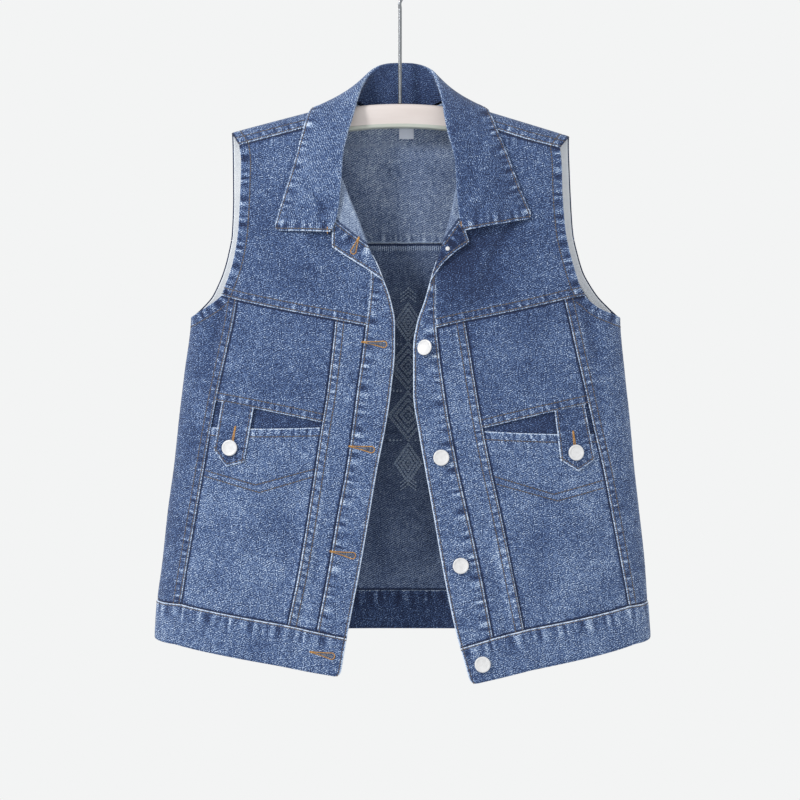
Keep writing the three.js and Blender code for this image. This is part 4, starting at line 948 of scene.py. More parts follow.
def make_materials(scene):
    """Every finish of the garment and hanger."""
    # Outer face of washed denim: blue warp over white weft, so it reads blue with pale flecks
    stops = [(0.0, scene.vest_cloth.deep), *RIGHT_STOPS, (1.0, scene.vest_cloth.pale)]
    MATERIALS["denim"] = denim_material("washed_indigo_denim", stops, 0.408, 1.42, 0.26, 0.75, 0.8)
    # Wrong side of the same twill: mostly white weft, so greyer, with clear diagonal lines
    MATERIALS["wrong"] = denim_material(
        "denim_wrong_side", WRONG_STOPS, 0.45, 0.9, 0.4, 0.3, 0.5)
    # Wrong side where it is turned out: a lighter copy of the wrong side, painted light where it lies
    # in the light
    MATERIALS["turned"] = denim_material(
        "denim_wrong_side_painted_lit", WRONG_SIDE_LIT_STOPS, 0.46, 1.0, 0.3, 0.3, 0.4)

    # Cotton tape, plain woven: off-white with a fine rib of 1.2 mm
    material, tree, shader = new_material(
        "cotton_tape", Roughness=0.85, Specular_IOR_Level=0.25, Sheen_Weight=0.1)
    uv = add(tree, "ShaderNodeUVMap", {"uv_map": "flat"}).outputs[0]
    noise = add(tree, "ShaderNodeTexNoise", Vector=uv, Scale=500.0, Detail=2.0)
    wide = add(tree, "ShaderNodeTexNoise", Vector=uv, Scale=60.0, Detail=2.0)
    gather = add(tree, "ShaderNodeAttribute", {"attribute_name": "gather"}).outputs["Fac"]
    # Puckers on the tape: painted lighter on their ridges and painted shade in their hollows
    value = total(tree, (noise.outputs[0], 0.6, 0.5), (wide.outputs[0], 0.6, 0.5),
                  (gather, 0.25, -2.4))
    tree.links.new(ramp(tree, value, [(0.0, "#c2cad6"), (0.5, "#e3e8ee"), (1.0, "#f4f6f9")]),
                   shader.inputs["Base Color"])
    bump = add(tree, "ShaderNodeBump", Height=noise.outputs[0], Strength=0.4, Distance=0.0003)
    tree.links.new(bump.outputs[0], shader.inputs["Normal"])
    MATERIALS["tape"] = material

    # Satin label tape: smooth weave with a soft shine, pale blue-grey
    material, tree, shader = new_material(
        "satin_label_tape", Roughness=0.5, Specular_IOR_Level=0.4, Sheen_Weight=0.2)
    uv = add(tree, "ShaderNodeUVMap", {"uv_map": "flat"}).outputs[0]
    rib = add(tree, "ShaderNodeTexWave", {"bands_direction": "X"}, Vector=uv, Scale=314.0,
              Distortion=0.6)
    tree.links.new(ramp(tree, rib.outputs[1], [(0.0, "#bac3d5"), (1.0, "#dfe4ee")]),
                   shader.inputs["Base Color"])
    MATERIALS["label"] = material

    for key, name, dark, light in (
            ("thread", "brown_topstitching_thread", "#332a26", scene.vest_sewing.brown),
            ("gold", "golden_buttonhole_thread", "#94662f", scene.vest_sewing.gold),
            ("pale_thread", "pale_embroidery_thread", "#8399ba", "#bdcce0"),
            # Buttonhole slits: the cut yarn's dark indigo together with painted shade in the slit
            ("cut", "frayed_yarn_slit_shadow", "#1b2338", "#6b7890"),
            # Painted shadow: dark bands laid along every stitch row where it sinks in
            ("stitch_shadow", "painted_stitch_shadow", "#1c2842", "#33435f")):
        # Matt finishes in two tones drawn 1.4 mm long: spun polyester thread, two tones along its
        # twist, and the painted shade of the slits and stitch rows
        MATERIALS[key] = mottled(name, dark, light, 700.0, 1.0, Roughness=0.6, Sheen_Weight=0.15)

    # Enamelled metal shank button: off-white with a little unevenness and a satin gloss
    MATERIALS["enamel"] = mottled(
        "off_white_enamel", "#c4c4c5", scene.vest_fittings.enamel, 260.0, 3.0, bump=0.15,
        Roughness=0.32, Specular_IOR_Level=0.5, Coat_Weight=0.3, Coat_Roughness=0.2)

    # Moulded plastic bar with a smooth pinkish beige face: slight mould flow marks
    for key, name, dark, light, rough in (
            ("bar", "moulded_beige_plastic", "#c4bab6", scene.vest_fittings.plastic, 0.45),
            ("lip", "moulded_grey_green_edge", "#9ea39b", "#b9beb5", 0.4)):
        MATERIALS[key] = mottled(name, dark, light, 1.0, 4.0, stretch=(8.0, 60.0, 60.0),
                                 Roughness=rough, Specular_IOR_Level=0.45)

    # Plated steel wire, drawn: bright, with fine marks
    MATERIALS["wire"] = mottled("plated_steel_wire", "#6d7074", "#8f9296", 900.0, Metallic=1.0,
                                Roughness=0.22)

    # Painted studio floor, matt and nearly white
    MATERIALS["floor"] = mottled("matt_floor_paint", "#e6e7e6", "#ecedec", 6.0, 5.0,
                                 Roughness=0.8)


# ---- Sewing ----

STITCH_HEIGHT = 0.36


def resampled(path, normals, pitch):
    """Even stations along a path, with their points, directions, normals."""
    run = np.concatenate([[0], np.cumsum(np.linalg.norm(np.diff(path, axis=0), axis=1))])
    count = int((run[-1] - 0.6) / pitch)
    at = (np.arange(count) + 0.5) * (run[-1] / max(count, 1))
    point = np.stack([np.interp(at, run, path[:, k]) for k in range(3)], -1)
    n = np.stack([np.interp(at, run, normals[:, k]) for k in range(3)], -1)
    ahead = np.stack([np.interp(at + 0.4, run, path[:, k]) for k in range(3)], -1)
    behind = np.stack([np.interp(at - 0.4, run, path[:, k]) for k in range(3)], -1)
    d = unit(ahead - behind)
    return point, d, unit(n - (n * d).sum(1, keepdims=True) * d)


# One stitch: two pointed ends and two four-sided sections, in shares of length, width, height
STITCH_SHAPE = np.array([[-0.5, 0, -0.4], [-0.3, 0.5, -0.1], [-0.3, 0, 1], [-0.3, -0.5, -0.1],
                         [-0.3, 0, -0.9], [0.3, 0.5, -0.1], [0.3, 0, 1], [0.3, -0.5, -0.1],
                         [0.3, 0, -0.9], [0.5, 0, -0.4]])
STITCH_FACES = np.array(
    [[0, 1, 2], [0, 2, 3], [0, 3, 4], [0, 4, 1], [9, 6, 5], [9, 7, 6], [9, 8, 7], [9, 5, 8]]
    + [face for k in range(4) for face in (
        [1 + k, 5 + k, 1 + (k + 1) % 4], [5 + k, 5 + (k + 1) % 4, 1 + (k + 1) % 4])])


def set_stitches(p, along, aside, n, sizes, lift, shape_faces):
    """A stitch at each point: its length goes along, its width aside and its height out."""
    length, width, height = sizes
    made = (p[:, None] + STITCH_SHAPE[None, :, :1] * length * along[:, None]
            + STITCH_SHAPE[None, :, 1:2] * width * aside[:, None]
            + (STITCH_SHAPE[None, :, 2:] * height + lift) * n[:, None])
    first = np.arange(len(p)) * len(STITCH_SHAPE)
    return made.reshape(-1, 3), (first[:, None, None] + shape_faces[None]).reshape(-1, 3)


def stitches(path, normals, length, pitch, width, height=STITCH_HEIGHT):
    """Stitches along a path, end to end."""
    p, d, n = resampled(path, normals, pitch)
    return set_stitches(p, d, np.cross(n, d), n, (length, width, height), 0.08,
                        STITCH_FACES[:, ::-1])


def satin(path, normals, pitch, reach, width, height):
    """Stitches laid across a path, side by side."""
    p, d, n = resampled(path, normals, pitch)
    return set_stitches(p, np.cross(n, d), d, n, (reach, width, height), 0.12, STITCH_FACES)


def joined(parts):
    """Several (points, faces) as one."""
    points, faces, count = [], [], 0
    for p, f in parts:
        points.append(p)
        faces.append(f + count)
        count += len(p)
    return np.concatenate(points), np.concatenate(faces)


def ribbon(path, normals, half=0.75, lift=0.06):
    """A flat band along a path: two points to a station, to either side of it."""
    run = np.gradient(path, axis=0)
    b = half * unit(np.cross(normals, run))
    points = np.stack([path - b, path + b], 1) + lift * normals[:, None]
    k = 2 * np.arange(len(path) - 1)
    return points.reshape(-1, 3), np.stack([k, k + 2, k + 3, k + 1], -1)


def sewing_object(name, parts, material):
    """One object of all the (points, faces) parts, which stands for no solid."""
    make_object(name, *joined(parts), [], "denim", [MATERIALS[material]])


def seam_rows(piece, seams):
    """The stitch rows of a piece's own seams."""
    return [piece.inset(edge, d) for edge in EDGES for d in SEAMS[seams[edge]]["rows"]]


# ---- Making the pieces ----

PIECES = {}
BODY_SIDE = np.array([0.2, 4.0, 0.0])
# Painted light and shade on the back's inner faces: the yoke's inside painted lighter, the body's and
# hem band's insides painted darker as they lie in shade
INSIDE_PAINTED_LIGHT = {"yoke": 0.07, "body": -0.05, "hem": -0.22}


def away_from_middle(p):
    """Rough way out of the body at a point of the fronts, back or sides."""
    return p * BODY_SIDE


def away_from_shoulder(p):
    """Rough way out of the body at a point of the yokes: forwards or back, and up."""
    return np.stack([0 * p[..., 0], p[..., 1], 14 + 0 * p[..., 1]], -1)


def painted_light_by_place(face, x, z):
    """Painted light and shade by place: painted rim light at the sides, paler towards the hem, painted
    shadows below the collar.
    """
    share = np.abs(x) / half_width(np.where(x < 0, -1, 1), z)
    # Painted rim light: the sides are painted paler where the cloth turns away
    side = 0.05 * np.clip((share - 0.82) / 0.18, 0, 1) ** 2
    low = 0.02 * np.clip((-z - 420) / 300, 0, 1)
    shadow = 0.0
    if face == "front":
        # Painted shadows that the collar and the turned-out tops cast on the fronts
        shadow = -0.1 * np.exp(-(((x - 98) / 50) ** 2 + ((z + 325) / 75) ** 2))
        shadow = shadow - 0.28 * np.exp(-(((x - 62) / 33) ** 2 + ((z + 332) / 50) ** 2))
        shadow = shadow - 0.04 * np.exp(-(((x + 92) / 26) ** 2 + ((z + 345) / 60) ** 2))
    return side + low + shadow


def make_piece(name, piece, seams, faces=("denim", "wrong"), slot="denim", face="front"):
    """The object of a piece; the size that its own rows measure is worked out but not kept."""
    piece.shade = painted_light_by_place(face, piece.outer[..., 0], piece.outer[..., 2])
    PIECES[name] = (piece, seams)
    obj = wall_mesh(piece, name + "_cloth", [name], slot, [MATERIALS[key] for key in faces])
    declare(piece)
    return obj


def declare(piece):
    """Works out the cut of what shows: its longest row, longest column and area, in metres, and keeps
    none of it.
    """
    grid = piece.outer
    rows = np.linalg.norm(np.diff(grid, axis=1), axis=-1).sum(1).max()
    columns = np.linalg.norm(np.diff(grid, axis=0), axis=-1).sum(0).max()
    du, dv = np.diff(grid, axis=1)[:-1], np.diff(grid, axis=0)[:, :-1]
    area = np.linalg.norm(np.cross(du, dv), axis=-1).sum()
    area = min(max(area, 0.31 * rows * columns), rows * columns)


def front_seams(**changed):
    """The kinds of a piece's four seams, with 'under' where nothing else is said."""
    return {**dict.fromkeys(EDGES, "under"), **changed}


def front_edges(side):
    """Lines that the pieces of one front share."""
    f = FRONTS[side]
    level = f.level
    shoulder = smooth(SHOULDER_SEAM, "x", side)
    x = mix(f.hole["front"](HOLE_TOP["front"]), f.neck(NECK_TOP), steps_of(YOKE_COLUMNS))
    lines = {"shoulder": f.place(x, shoulder(x))}
    corner = f.place(f.hole["front"](YOKE_CORNER), YOKE_CORNER)
    outer_top = f.place(f.seam["outer"](level["yoke"]["outer"]), level["yoke"]["outer"])
    lines["yoke_side"] = blend(corner, outer_top, STEPS["yokeSide"])
    lines["yoke_pocket"] = f.crossing("yoke", "outer", "inner", STEPS["pocket"])
    lines["yoke_strip"] = f.crossing("yoke", "inner", "placket", STEPS["strip"])
    z = np.concatenate([mix(NECK_TOP, FOLD_TOP, steps_of(STEPS["neck"])),
                        mix(FOLD_TOP, FOLD_FOOT, steps_of(STEPS["fold"]))[1:]])
    neck = f.place(f.neck(z), z)
    neck[0] = lines["shoulder"][-1]
    lines["neck"] = chain(neck, f.upright("placket", FOLD_FOOT, level["yoke"]["placket"],
                                          STEPS["lapelSeam"]))
    hole = f.armhole("front", lines["shoulder"][0][1], YOKE_CORNER, len(lines["neck"]) // FINE)
    hole[0], hole[-1] = lines["shoulder"][0], corner
    lines["armhole"] = hole
    armpit = f.armhole("front", ARMPIT, YOKE_CORNER, STEPS["armpit"])
    armpit[0], armpit[-1] = (1, ARMPIT), corner
    lines["armpit"] = armpit
    for name in ("outer", "inner", "placket"):
        lines[name] = f.down(name)
    lines["band_side"] = f.crossing("band", "side", "outer", SIDE_COLUMNS, SAG["side"])
    lines["band_pocket"] = f.crossing("band", "outer", "inner", STEPS["pocket"], SAG["pocket"])
    lines["band_strip"] = f.crossing("band", "inner", "placket", STEPS["strip"])
    lines["band_placket"] = f.crossing("band", "placket", "edge", STEPS["placket"])
    return lines


def cut(edge, start, end):
    """Part of a dense line between two steps."""
    return edge[start * FINE:end * FINE + 1]


def make_fronts(side):
    """Yoke, side, strip, placket, pocket pieces and hem band of one front."""
    f, lines, level = FRONTS[side], front_edges(side), FRONTS[side].level
    seed = 2.0 if side == "left" else 5.0

    def piece(name, edges, seams, faces=("denim", "wrong"), rests=(), **more):
        made = form_piece(f.point, away_from_middle, edges, seams,
                          seed=seed + 0.37 * len(PIECES), **more)
        make_piece(f"{name}_{side}", made, seams, faces)

    yoke_name = [f"front_yoke_{side}"]
    piece("front_yoke", {
        "top": lines["shoulder"], "bottom": chain(lines["yoke_side"], lines["yoke_pocket"],
                                                  lines["yoke_strip"]),
        "left": lines["armhole"], "right": lines["neck"]},
        front_seams(bottom="felled", left="armhole", right="fold"), tone=-0.03,
        rests=["hanger_bar"])
    rows = len(lines["outer"]) // FINE
    piece("side_front", {
        "top": chain(lines["armpit"], lines["yoke_side"]), "bottom": lines["band_side"],
        "left": blend((1, ARMPIT), (1, level["band"]["side"]), rows), "right": lines["outer"]},
        front_seams(top="armhole", left="hem_side", right="felled"),
        # Painted shade: the left side panel is painted darker than the right
        tone=-0.09 if side == "left" else -0.02,
        rests=yoke_name, split=STEPS["armpit"])
    piece("front_strip", {
        "top": lines["yoke_strip"], "bottom": lines["band_strip"], "left": lines["inner"],
        "right": lines["placket"]}, front_seams(left="felled"), tone=0.04, rests=yoke_name)

    top = PLACKET_TOP
    placket = chain(f.upright("placket", top, level["yoke"]["placket"], STEPS["lapelSeam"]),
                    lines["placket"])
    edge = chain(f.upright("edge", top, level["yoke"]["edge"], STEPS["lapelSeam"]),
                 f.upright("edge", level["yoke"]["edge"], level["band"]["edge"], rows))
    piece("placket", {
        "top": blend(placket[0], edge[0], STEPS["placket"]), "bottom": lines["band_placket"],
        "left": placket, "right": edge},
        front_seams(left="placket_seam", right="turned"), tone=0.03, rests=yoke_name,
        faces=("denim", "denim"), **PLACKET)

    panel = f.crossing("panel", "outer", "inner", STEPS["pocket"], SAG["panel"])
    mouth = f.crossing("mouth", "outer", "inner", STEPS["pocket"], SAG["mouth"])
    upper, wedge = STEPS["upper"], STEPS["upper"] + STEPS["wedge"]
    piece("pocket_panel", {
        "top": lines["yoke_pocket"], "bottom": panel, "left": cut(lines["outer"], 0, upper),
        "right": cut(lines["inner"], 0, upper)}, front_seams(bottom="felled"), tone=-0.02,
        rests=yoke_name)
    piece("pocket_front", {
        "top": mouth, "bottom": lines["band_pocket"], "left": cut(lines["outer"], wedge, rows),
        "right": cut(lines["inner"], wedge, rows)}, front_seams(top="mouth"), tone=0.04,
        rests=yoke_name)

    u = steps_of(STEPS["pocket"])
    v = steps_of(POCKET_FACING["rows"])[:, None]
    base_top = panel.copy()
    base_top[:, 1] += POCKET_FACING["behind"]
    base_top[:, 0] += POCKET_FACING["beside"] * (1 - 2 * u)
    low_left, low_right = (
        np.array([lines[name][wedge * FINE][0] + way * POCKET_FACING["beside"],
                  level["mouth"][name] - POCKET_FACING["depth"]])
        for name, way in (("outer", 1), ("inner", -1)))
    # The facing shows in the pocket mouth; its low tone is painted shade in that gap
    piece("pocket_facing", {
        "top": base_top, "bottom": mix(low_left, low_right, u[:, None]),
        "left": mix(base_top[0], low_left, v), "right": mix(base_top[-1], low_right, v)},
        dict.fromkeys(EDGES, "plain"), lift=UNDER, wall=CLOTH, tone=-0.22,
        rests=[f"pocket_panel_{side}"])

    piece("hem_band", {
        "top": chain(lines["band_side"], lines["band_pocket"], lines["band_strip"],
                     lines["band_placket"]),
        "bottom": chain(
            f.crossing("hem", "side", "outer", SIDE_COLUMNS, SAG["side"]),
            f.crossing("hem", "outer", "inner", STEPS["pocket"], SAG["pocket"]),
            f.crossing("hem", "inner", "placket", STEPS["strip"]),
            f.crossing("hem", "placket", "edge", STEPS["placket"])),
        "left": blend((1, level["band"]["side"]), (1, level["hem"]["side"]), STEPS["band"]),
        "right": f.upright("edge", level["band"]["edge"], level["hem"]["edge"], STEPS["band"])},
        front_seams(top="band_top", bottom="band_hem", left="hem_side", right="turned"),
        tone=0.02, faces=("denim", "denim"), rests=[f"side_front_{side}"], corners=["right"],
        **BAND)


def curve_through(points, count):
    """Smooth curve through points: centripetal Catmull-Rom, its knots spaced by root distance."""
    p = np.asarray(points, float)
    p = np.concatenate([[2 * p[0] - p[1]], p, [2 * p[-1] - p[-2]]])
    knots = np.concatenate([[0], np.cumsum(np.linalg.norm(np.diff(p, axis=0), axis=1) ** 0.5)])
    at = np.linspace(0, len(p) - 3, count)
    k = np.minimum(at.astype(int), len(p) - 4)
    t = mix(knots[k + 1], knots[k + 2], at - k)

    def step(a, b, ta, tb):
        share = ((t - ta) / np.maximum(tb - ta, 1e-9))[:, None]
        return a * (1 - share) + b * share
    q = [p[k + i] for i in range(4)]
    t0, t1, t2, t3 = (knots[k + i] for i in range(4))
    a1, a2, a3 = step(q[0], q[1], t0, t1), step(q[1], q[2], t1, t2), step(q[2], q[3], t2, t3)
    return step(step(a1, a2, t0, t2), step(a2, a3, t1, t3), t1, t2)


def fold_over(piece, gap, squeeze=0.85):
    """Adds a half-round turn to a piece's right edge, down to the cloth the gap below it."""
    edge, normal = piece.outer[:, -1], piece.normal[:, -1]
    way = edge - piece.outer[:, -4]
    way = way - (way * normal).sum(1, keepdims=True) * normal
    way = way / np.linalg.norm(way, axis=1, keepdims=True)
    radius = (gap / 2)[:, None, None]
    angle = np.linspace(0, np.pi, 10)[None, 1:, None]
    out = np.cos(angle) * normal[:, None] + np.sin(angle) * squeeze * way[:, None]
    centre = edge[:, None] - radius * normal[:, None]
    thin = np.minimum(piece.wall, 0.7 * radius)
    piece.outer = np.concatenate([piece.outer, centre + radius * out], 1)
    piece.inner = np.concatenate([piece.inner, centre + (radius - thin) * out], 1)
    piece.normal = np.concatenate([piece.normal, out], 1)
    count = angle.shape[1]
    for key, value in piece.marks.items():
        piece.marks[key] = np.concatenate([value, np.repeat(value[:, -1:], count, 1)], 1)
    arc = (radius[..., 0] * angle[..., 0]) * MM
    more = np.repeat(piece.flat[:, -1:], count, 1)
    more[..., 0] += arc * np.sign(piece.flat[:, -1, 0] - piece.flat[:, -2, 0])[:, None]
    piece.flat = np.concatenate([piece.flat, more], 1)
    for edge_name in EDGES:
        for store in (piece.dist, piece.along):
            store[edge_name] = np.concatenate(
                [store[edge_name], np.repeat(store[edge_name][:, -1:], count, 1)], 1)


def make_lapel(side):
    """Turned-out top of one front: the yoke's wrong side and the placket's facing."""
    f = FRONTS[side]
    height = LAPEL_LIFT[side]
    line_of = {}
    for row in LAPEL[side]:
        points = curve_through([[row[f"x{k}"], row[f"z{k}"]] for k in (1, 2, 3, 4)],
                               STEPS["lapel"] * FINE + 1)
        line_of[row["line"]] = f.place(points[:, 0], points[:, 1])

    def bulge(u, start, end):
        return mix(start, end, np.sin(np.pi / 2 * u))

    seams = front_seams(top="plain", left="plain", right="plain")
    made = form_piece(
        f.point, away_from_middle,
        {"top": blend(line_of["under"][0], line_of["fold"][0], STEPS["lapel"]),
         "bottom": line_of["seam"],
         "left": line_of["under"], "right": line_of["fold"]}, seams, gap=2.2,
        lift=lambda u, v: bulge(1 - u, mix(height["top"], height["foot"], v),
                                mix(height["top"] + 1, height["free"], v)),
        tone=0.02, seed=7.7)
    rows = np.linspace(0, 1, made.outer.shape[0])
    fold_over(made, mix(height["top"], height["foot"], rows) + 1.0)
    make_piece(f"lapel_yoke_{side}", made, seams, ("turned", "denim"), "denim_wrong_side")
    seams = {"top": "placket_seam", "bottom": "turned", "left": "turned", "right": "plain"}
    made = form_piece(
        f.point, away_from_middle,
        {"top": line_of["seam"], "bottom": line_of["front"],
         "left": blend(line_of["seam"][0], line_of["front"][0], STEPS["lapelEnd"]),
         "right": blend(line_of["seam"][-1], line_of["front"][-1], STEPS["lapelEnd"])}, seams, gap=2.2,
        lift=lambda u, v: bulge(1 - u, mix(height["foot"], height["top"], v * v), height["free"]),
        tone=-0.02, seed=9.1)
    rows = np.linspace(0, 1, made.outer.shape[0])
    fold_over(made, mix(height["foot"], height["top"], rows ** 2) + 1.0)
    make_piece(f"lapel_placket_{side}", made, seams, ("denim", "denim"))


def make_tab(side):
    """Pointed button tab over the pocket mouth, turned in all round and stitched."""
    f = FRONTS[side]
    at = {row["corner"]: f.place(row["x"], row["z"]) for row in TAB[side]}
    seams = {"top": "plain", "bottom": "tab", "left": "tab", "right": "tab"}
    made = form_piece(
        f.point, away_from_middle,
        {"top": blend(at["outerTop"], at["innerTop"], 4),
         "bottom": chain(blend(at["outerFoot"], at["tip"], 2), blend(at["tip"], at["innerFoot"], 2)),
         "left": blend(at["outerTop"], at["outerFoot"], 4),
         "right": blend(at["innerTop"], at["innerFoot"], 4)}, seams, gap=1.8,
        lift=CLOTH + 0.55, tone=-0.08, seed=3.3)
    make_piece(f"pocket_tab_{side}", made, seams, ("denim", "denim"))


def shoulder_over(side):
    """The forward shoulder seam as [x, fall] on the form over the shoulders."""
    f, sign = FRONTS[side], SIGN[side]
    x = mix(f.hole["front"](HOLE_TOP["front"]), f.neck(NECK_TOP), steps_of(YOKE_COLUMNS))
    z = smooth(SHOULDER_SEAM, "x", side)(x)
    return line(sign * x, fall_at(sign * x, z))


def neck_over(side):
    """The neck seam from the shoulder seam to the middle of the back, as [x, fall]."""
    neck_x = smooth(COLLAR[side][:6], "neckFall", "neckX")
    start = shoulder_over(side)[-1]
    falls = np.interp(steps_of(STEPS["backNeck"]) * 5, range(6),
                      [start[1], 1.6, -1, -2.6, -3.7, -4])
    x = SIGN[side] * neck_x(falls)
    x = x * np.clip((falls + 4) / 0.3, 0, 1) ** 0.5
    pairs = line(x, falls)
    pairs[0] = start
    return pairs


def armhole_over(side, to_z, count):
    """The back's armhole edge over the shoulder and down, as [x, fall]."""
    f, sign = FRONTS[side], SIGN[side]
    start = shoulder_over(side)[0]
    top = STEPS["overShoulder"]
    step = np.arange(count * FINE + 1) / FINE
    share = np.clip(1 - step / top, 0, 1)
    edge_top = shoulder_height(sign * f.hole["back"](HOLE_TOP["back"]))
    down = np.clip((step - top) / (count - top), 0, 1) ** 1.8
    z = mix(edge_top, to_z, down)
    x_top = mix(f.hole["back"](HOLE_TOP["back"]), f.hole["front"](HOLE_TOP["front"]), share ** 2)
    x_low = f.hole["back"](z)
    over = step <= top
    x = sign * np.where(over, x_top, x_low)
    return line(x, np.where(over, start[1] * share, -fall_at(x, z)))


def yoke_seam_height(x):
    """Level of the back yoke seam: it dips a little in the middle."""
    return BACK["yoke"] - BACK["yokeDip"] * (1 - (x / 180) ** 2)


def plain_point(x, z):
    """A point of the back by its x and z."""
    sign = np.where(x < 0, -1, 1)
    return body_point("back", sign, across(sign, x, z), z)


def band_height(x):
    return BACK["band"] + BACK["rise"] * (1 - (x / 265) ** 2)


def hem_height(x):
    return BACK["hem"] + BACK["rise"] * (1 - (x / 265) ** 2)


def make_back():
    """Back yoke, middle panel, side backs, hem band, armhole facings and size tab."""
    left_top, right_top = shoulder_over("left"), shoulder_over("right")
    top = chain(left_top, neck_over("left"), neck_over("right")[::-1], right_top[::-1])
    rows = STEPS["backRows"] + STEPS["overShoulder"]
    left, right = (armhole_over(side, BACK["yoke"], rows) for side in SIDES)
    centre = YOKE_COLUMNS + STEPS["backNeck"] - STEPS["backSide"]
    u = steps_of(STEPS["backSide"])
    x = np.concatenate([mix(left[-1][0], -BACK["seamTop"], u),
                        mix(-BACK["seamTop"], BACK["seamTop"], steps_of(2 * centre))[1:],
                        mix(BACK["seamTop"], right[-1][0], u)[1:]])
    bottom = line(x, -fall_at(x, yoke_seam_height(x)))
    left[-1], right[-1] = bottom[0], bottom[-1]
    seams = {"top": "felled", "bottom": "felled", "left": "armhole_back",
             "right": "armhole_back"}
    made = form_piece(shoulder_point, away_from_shoulder,
                      {"top": top, "bottom": bottom, "left": left, "right": right}, seams,
                      face="back", seed=4.2, limit=NO_SIDE, tone=-0.01)
    # Painted light: the yoke's inside is painted paler towards its top, under the bar
    made.inside = INSIDE_PAINTED_LIGHT["yoke"] + 0.14 * np.clip((made.outer[..., 2].ravel() + 225) / 40, 0, 1)
    make_piece("back_yoke", made, seams, face="back")

    def seam_line(sign):
        share = steps_of(STEPS["bodyRows"])
        return line(sign * mix(BACK["seamTop"], BACK["seamBottom"], share),
                    mix(yoke_seam_height(BACK["seamTop"]), band_height(BACK["seamBottom"]), share))
    across_top = mix(-BACK["seamTop"], BACK["seamTop"], steps_of(2 * centre))
    across_low = mix(-BACK["seamBottom"], BACK["seamBottom"], steps_of(2 * centre))
    seams = front_seams()
    made = form_piece(plain_point, away_from_middle, {
        "top": line(across_top, yoke_seam_height(across_top)),
        "bottom": line(across_low, band_height(across_low)),
        "left": seam_line(-1), "right": seam_line(1)}, seams, face="back", seed=6.1, limit=NO_SIDE,
        inside=INSIDE_PAINTED_LIGHT["body"])
    make_piece("back_panel", made, seams, face="back")

    for side in SIDES:
        f, sign = FRONTS[side], SIGN[side]
        x = mix(abs(x_end(bottom, side)), BACK["seamTop"], u)
        yoke_part = f.place(x, yoke_seam_height(x))
        hole = f.armhole("back", ARMPIT, yoke_seam_height(185), STEPS["backHole"])
        hole[0], hole[-1] = (1, ARMPIT), yoke_part[0]
        side_end = f.level["band"]["side"]
        share = steps_of(STEPS["backHole"] + STEPS["backSide"])
        t = mix(1, across(sign, BACK["seamBottom"], band_height(BACK["seamBottom"])), share)
        x = half_width(sign, BACK["band"]) * np.sin(np.pi / 2 * t)
        edge = half_width(sign, BACK["band"])
        low = line(t, band_height(x) + (side_end - band_height(edge)) * (1 - share) ** 2)
        seam = seam_line(sign)
        seams = front_seams(top="armhole_back", left="hem_side", right="felled")
        made = form_piece(
            lambda a, b, sign=sign: body_point("back", sign, a, b),
            away_from_middle,
            {"top": chain(hole, yoke_part), "bottom": low,
             "left": blend((1, ARMPIT), (1, side_end), STEPS["bodyRows"]),
             "right": f.place(seam[:, 0], seam[:, 1])}, seams, face="back", seed=8 + sign, tone=0.02,
            inside=INSIDE_PAINTED_LIGHT["body"], split=6)
        make_piece(f"side_back_{side}", made, seams, face="back")

    def band_line(height, seam):
        halves = []
        for side in SIDES:
            f, sign = FRONTS[side], SIGN[side]
            end = f.level[seam]["side"]
            x = mix(0, BACK["seamBottom"], steps_of(centre))
            middle = line(sign * across(sign, x, height(x)), height(x))
            share = steps_of(STEPS["backHole"] + STEPS["backSide"])
            t = mix(across(sign, BACK["seamBottom"], height(BACK["seamBottom"])), 1, share)
            wide = half_width(sign, height(0))
            x = wide * np.sin(np.pi / 2 * t)
            outer = line(sign * t, height(x) + (end - height(wide)) * share ** 2)
            halves.append(chain(middle, outer))
        return chain(halves[0][::-1], halves[1])
    top, low = band_line(band_height, "band"), band_line(hem_height, "hem")
    seams = {"top": "band_top", "bottom": "band_hem", "left": "hem_side", "right": "hem_side"}
    made = form_piece(
        lambda a, b: body_point("back", np.where(a < 0, -1, 1), np.abs(a), b),
        away_from_middle,
        {"top": top, "bottom": low, "left": blend(top[0], low[0], 2),
         "right": blend(top[-1], low[-1], 2)}, seams, face="back", seed=1.7,
        inside=INSIDE_PAINTED_LIGHT["hem"], **BAND)
    make_piece("hem_band_back", made, seams, ("denim", "denim"), face="back")

    for side in SIDES:
        f, sign = FRONTS[side], SIGN[side]
        z = mix(FACING[side], FACING["bottom"], steps_of(FACING["steps"]))
        edge = np.stack([f.hole["back"](z), z], -1)
        run = np.gradient(edge, axis=0)
        run = run / np.linalg.norm(run, axis=1, keepdims=True)
        inward = np.stack([run[:, 1], -run[:, 0]], -1)
        near, far = (edge + d * inward for d in (FACING["inset"], FACING["width"]))
        outer, inner = (line(sign * p[:, 0], -fall_at(sign * p[:, 0], p[:, 1]))
                        for p in (near, far))
        seams = {"top": "plain", "bottom": "plain", "left": "plain", "right": "tape"}
        made = form_piece(
            shoulder_point, away_from_shoulder,
            {"top": blend(outer[0], inner[0], 2), "bottom": blend(outer[-1], inner[-1], 2),
             "left": outer, "right": inner}, seams, gap=2.0, lift=UNDER,
            wall=FACING["wall"], face="back", limit=NO_SIDE, seed=2.9)
        make_piece(f"armhole_facing_{side}", made, seams, ("tape", "tape"), "facing_tape",
                   face="back")

    x = mix(SIZE_TAB["x1"], SIZE_TAB["x2"], steps_of(2))
    z = mix(SIZE_TAB["top"], SIZE_TAB["bottom"], steps_of(5))
    seams = dict.fromkeys(EDGES, "plain")
    made = form_piece(plain_point, away_from_middle, {
        "top": line(x, SIZE_TAB["top"]), "bottom": line(x, SIZE_TAB["bottom"]),
        "left": line(SIZE_TAB["x1"], z), "right": line(SIZE_TAB["x2"], z)}, seams, gap=1.2,
        lift=UNDER, wall=0.6, face="back", limit=NO_SIDE)
    make_piece("size_tab", made, seams, ("label", "label"), "label_tape",
               face="back")


def x_end(edge, side):
    """x of an edge's end on one side."""
    return edge[0 if side == "left" else -1][0]


# ---- Collar ----

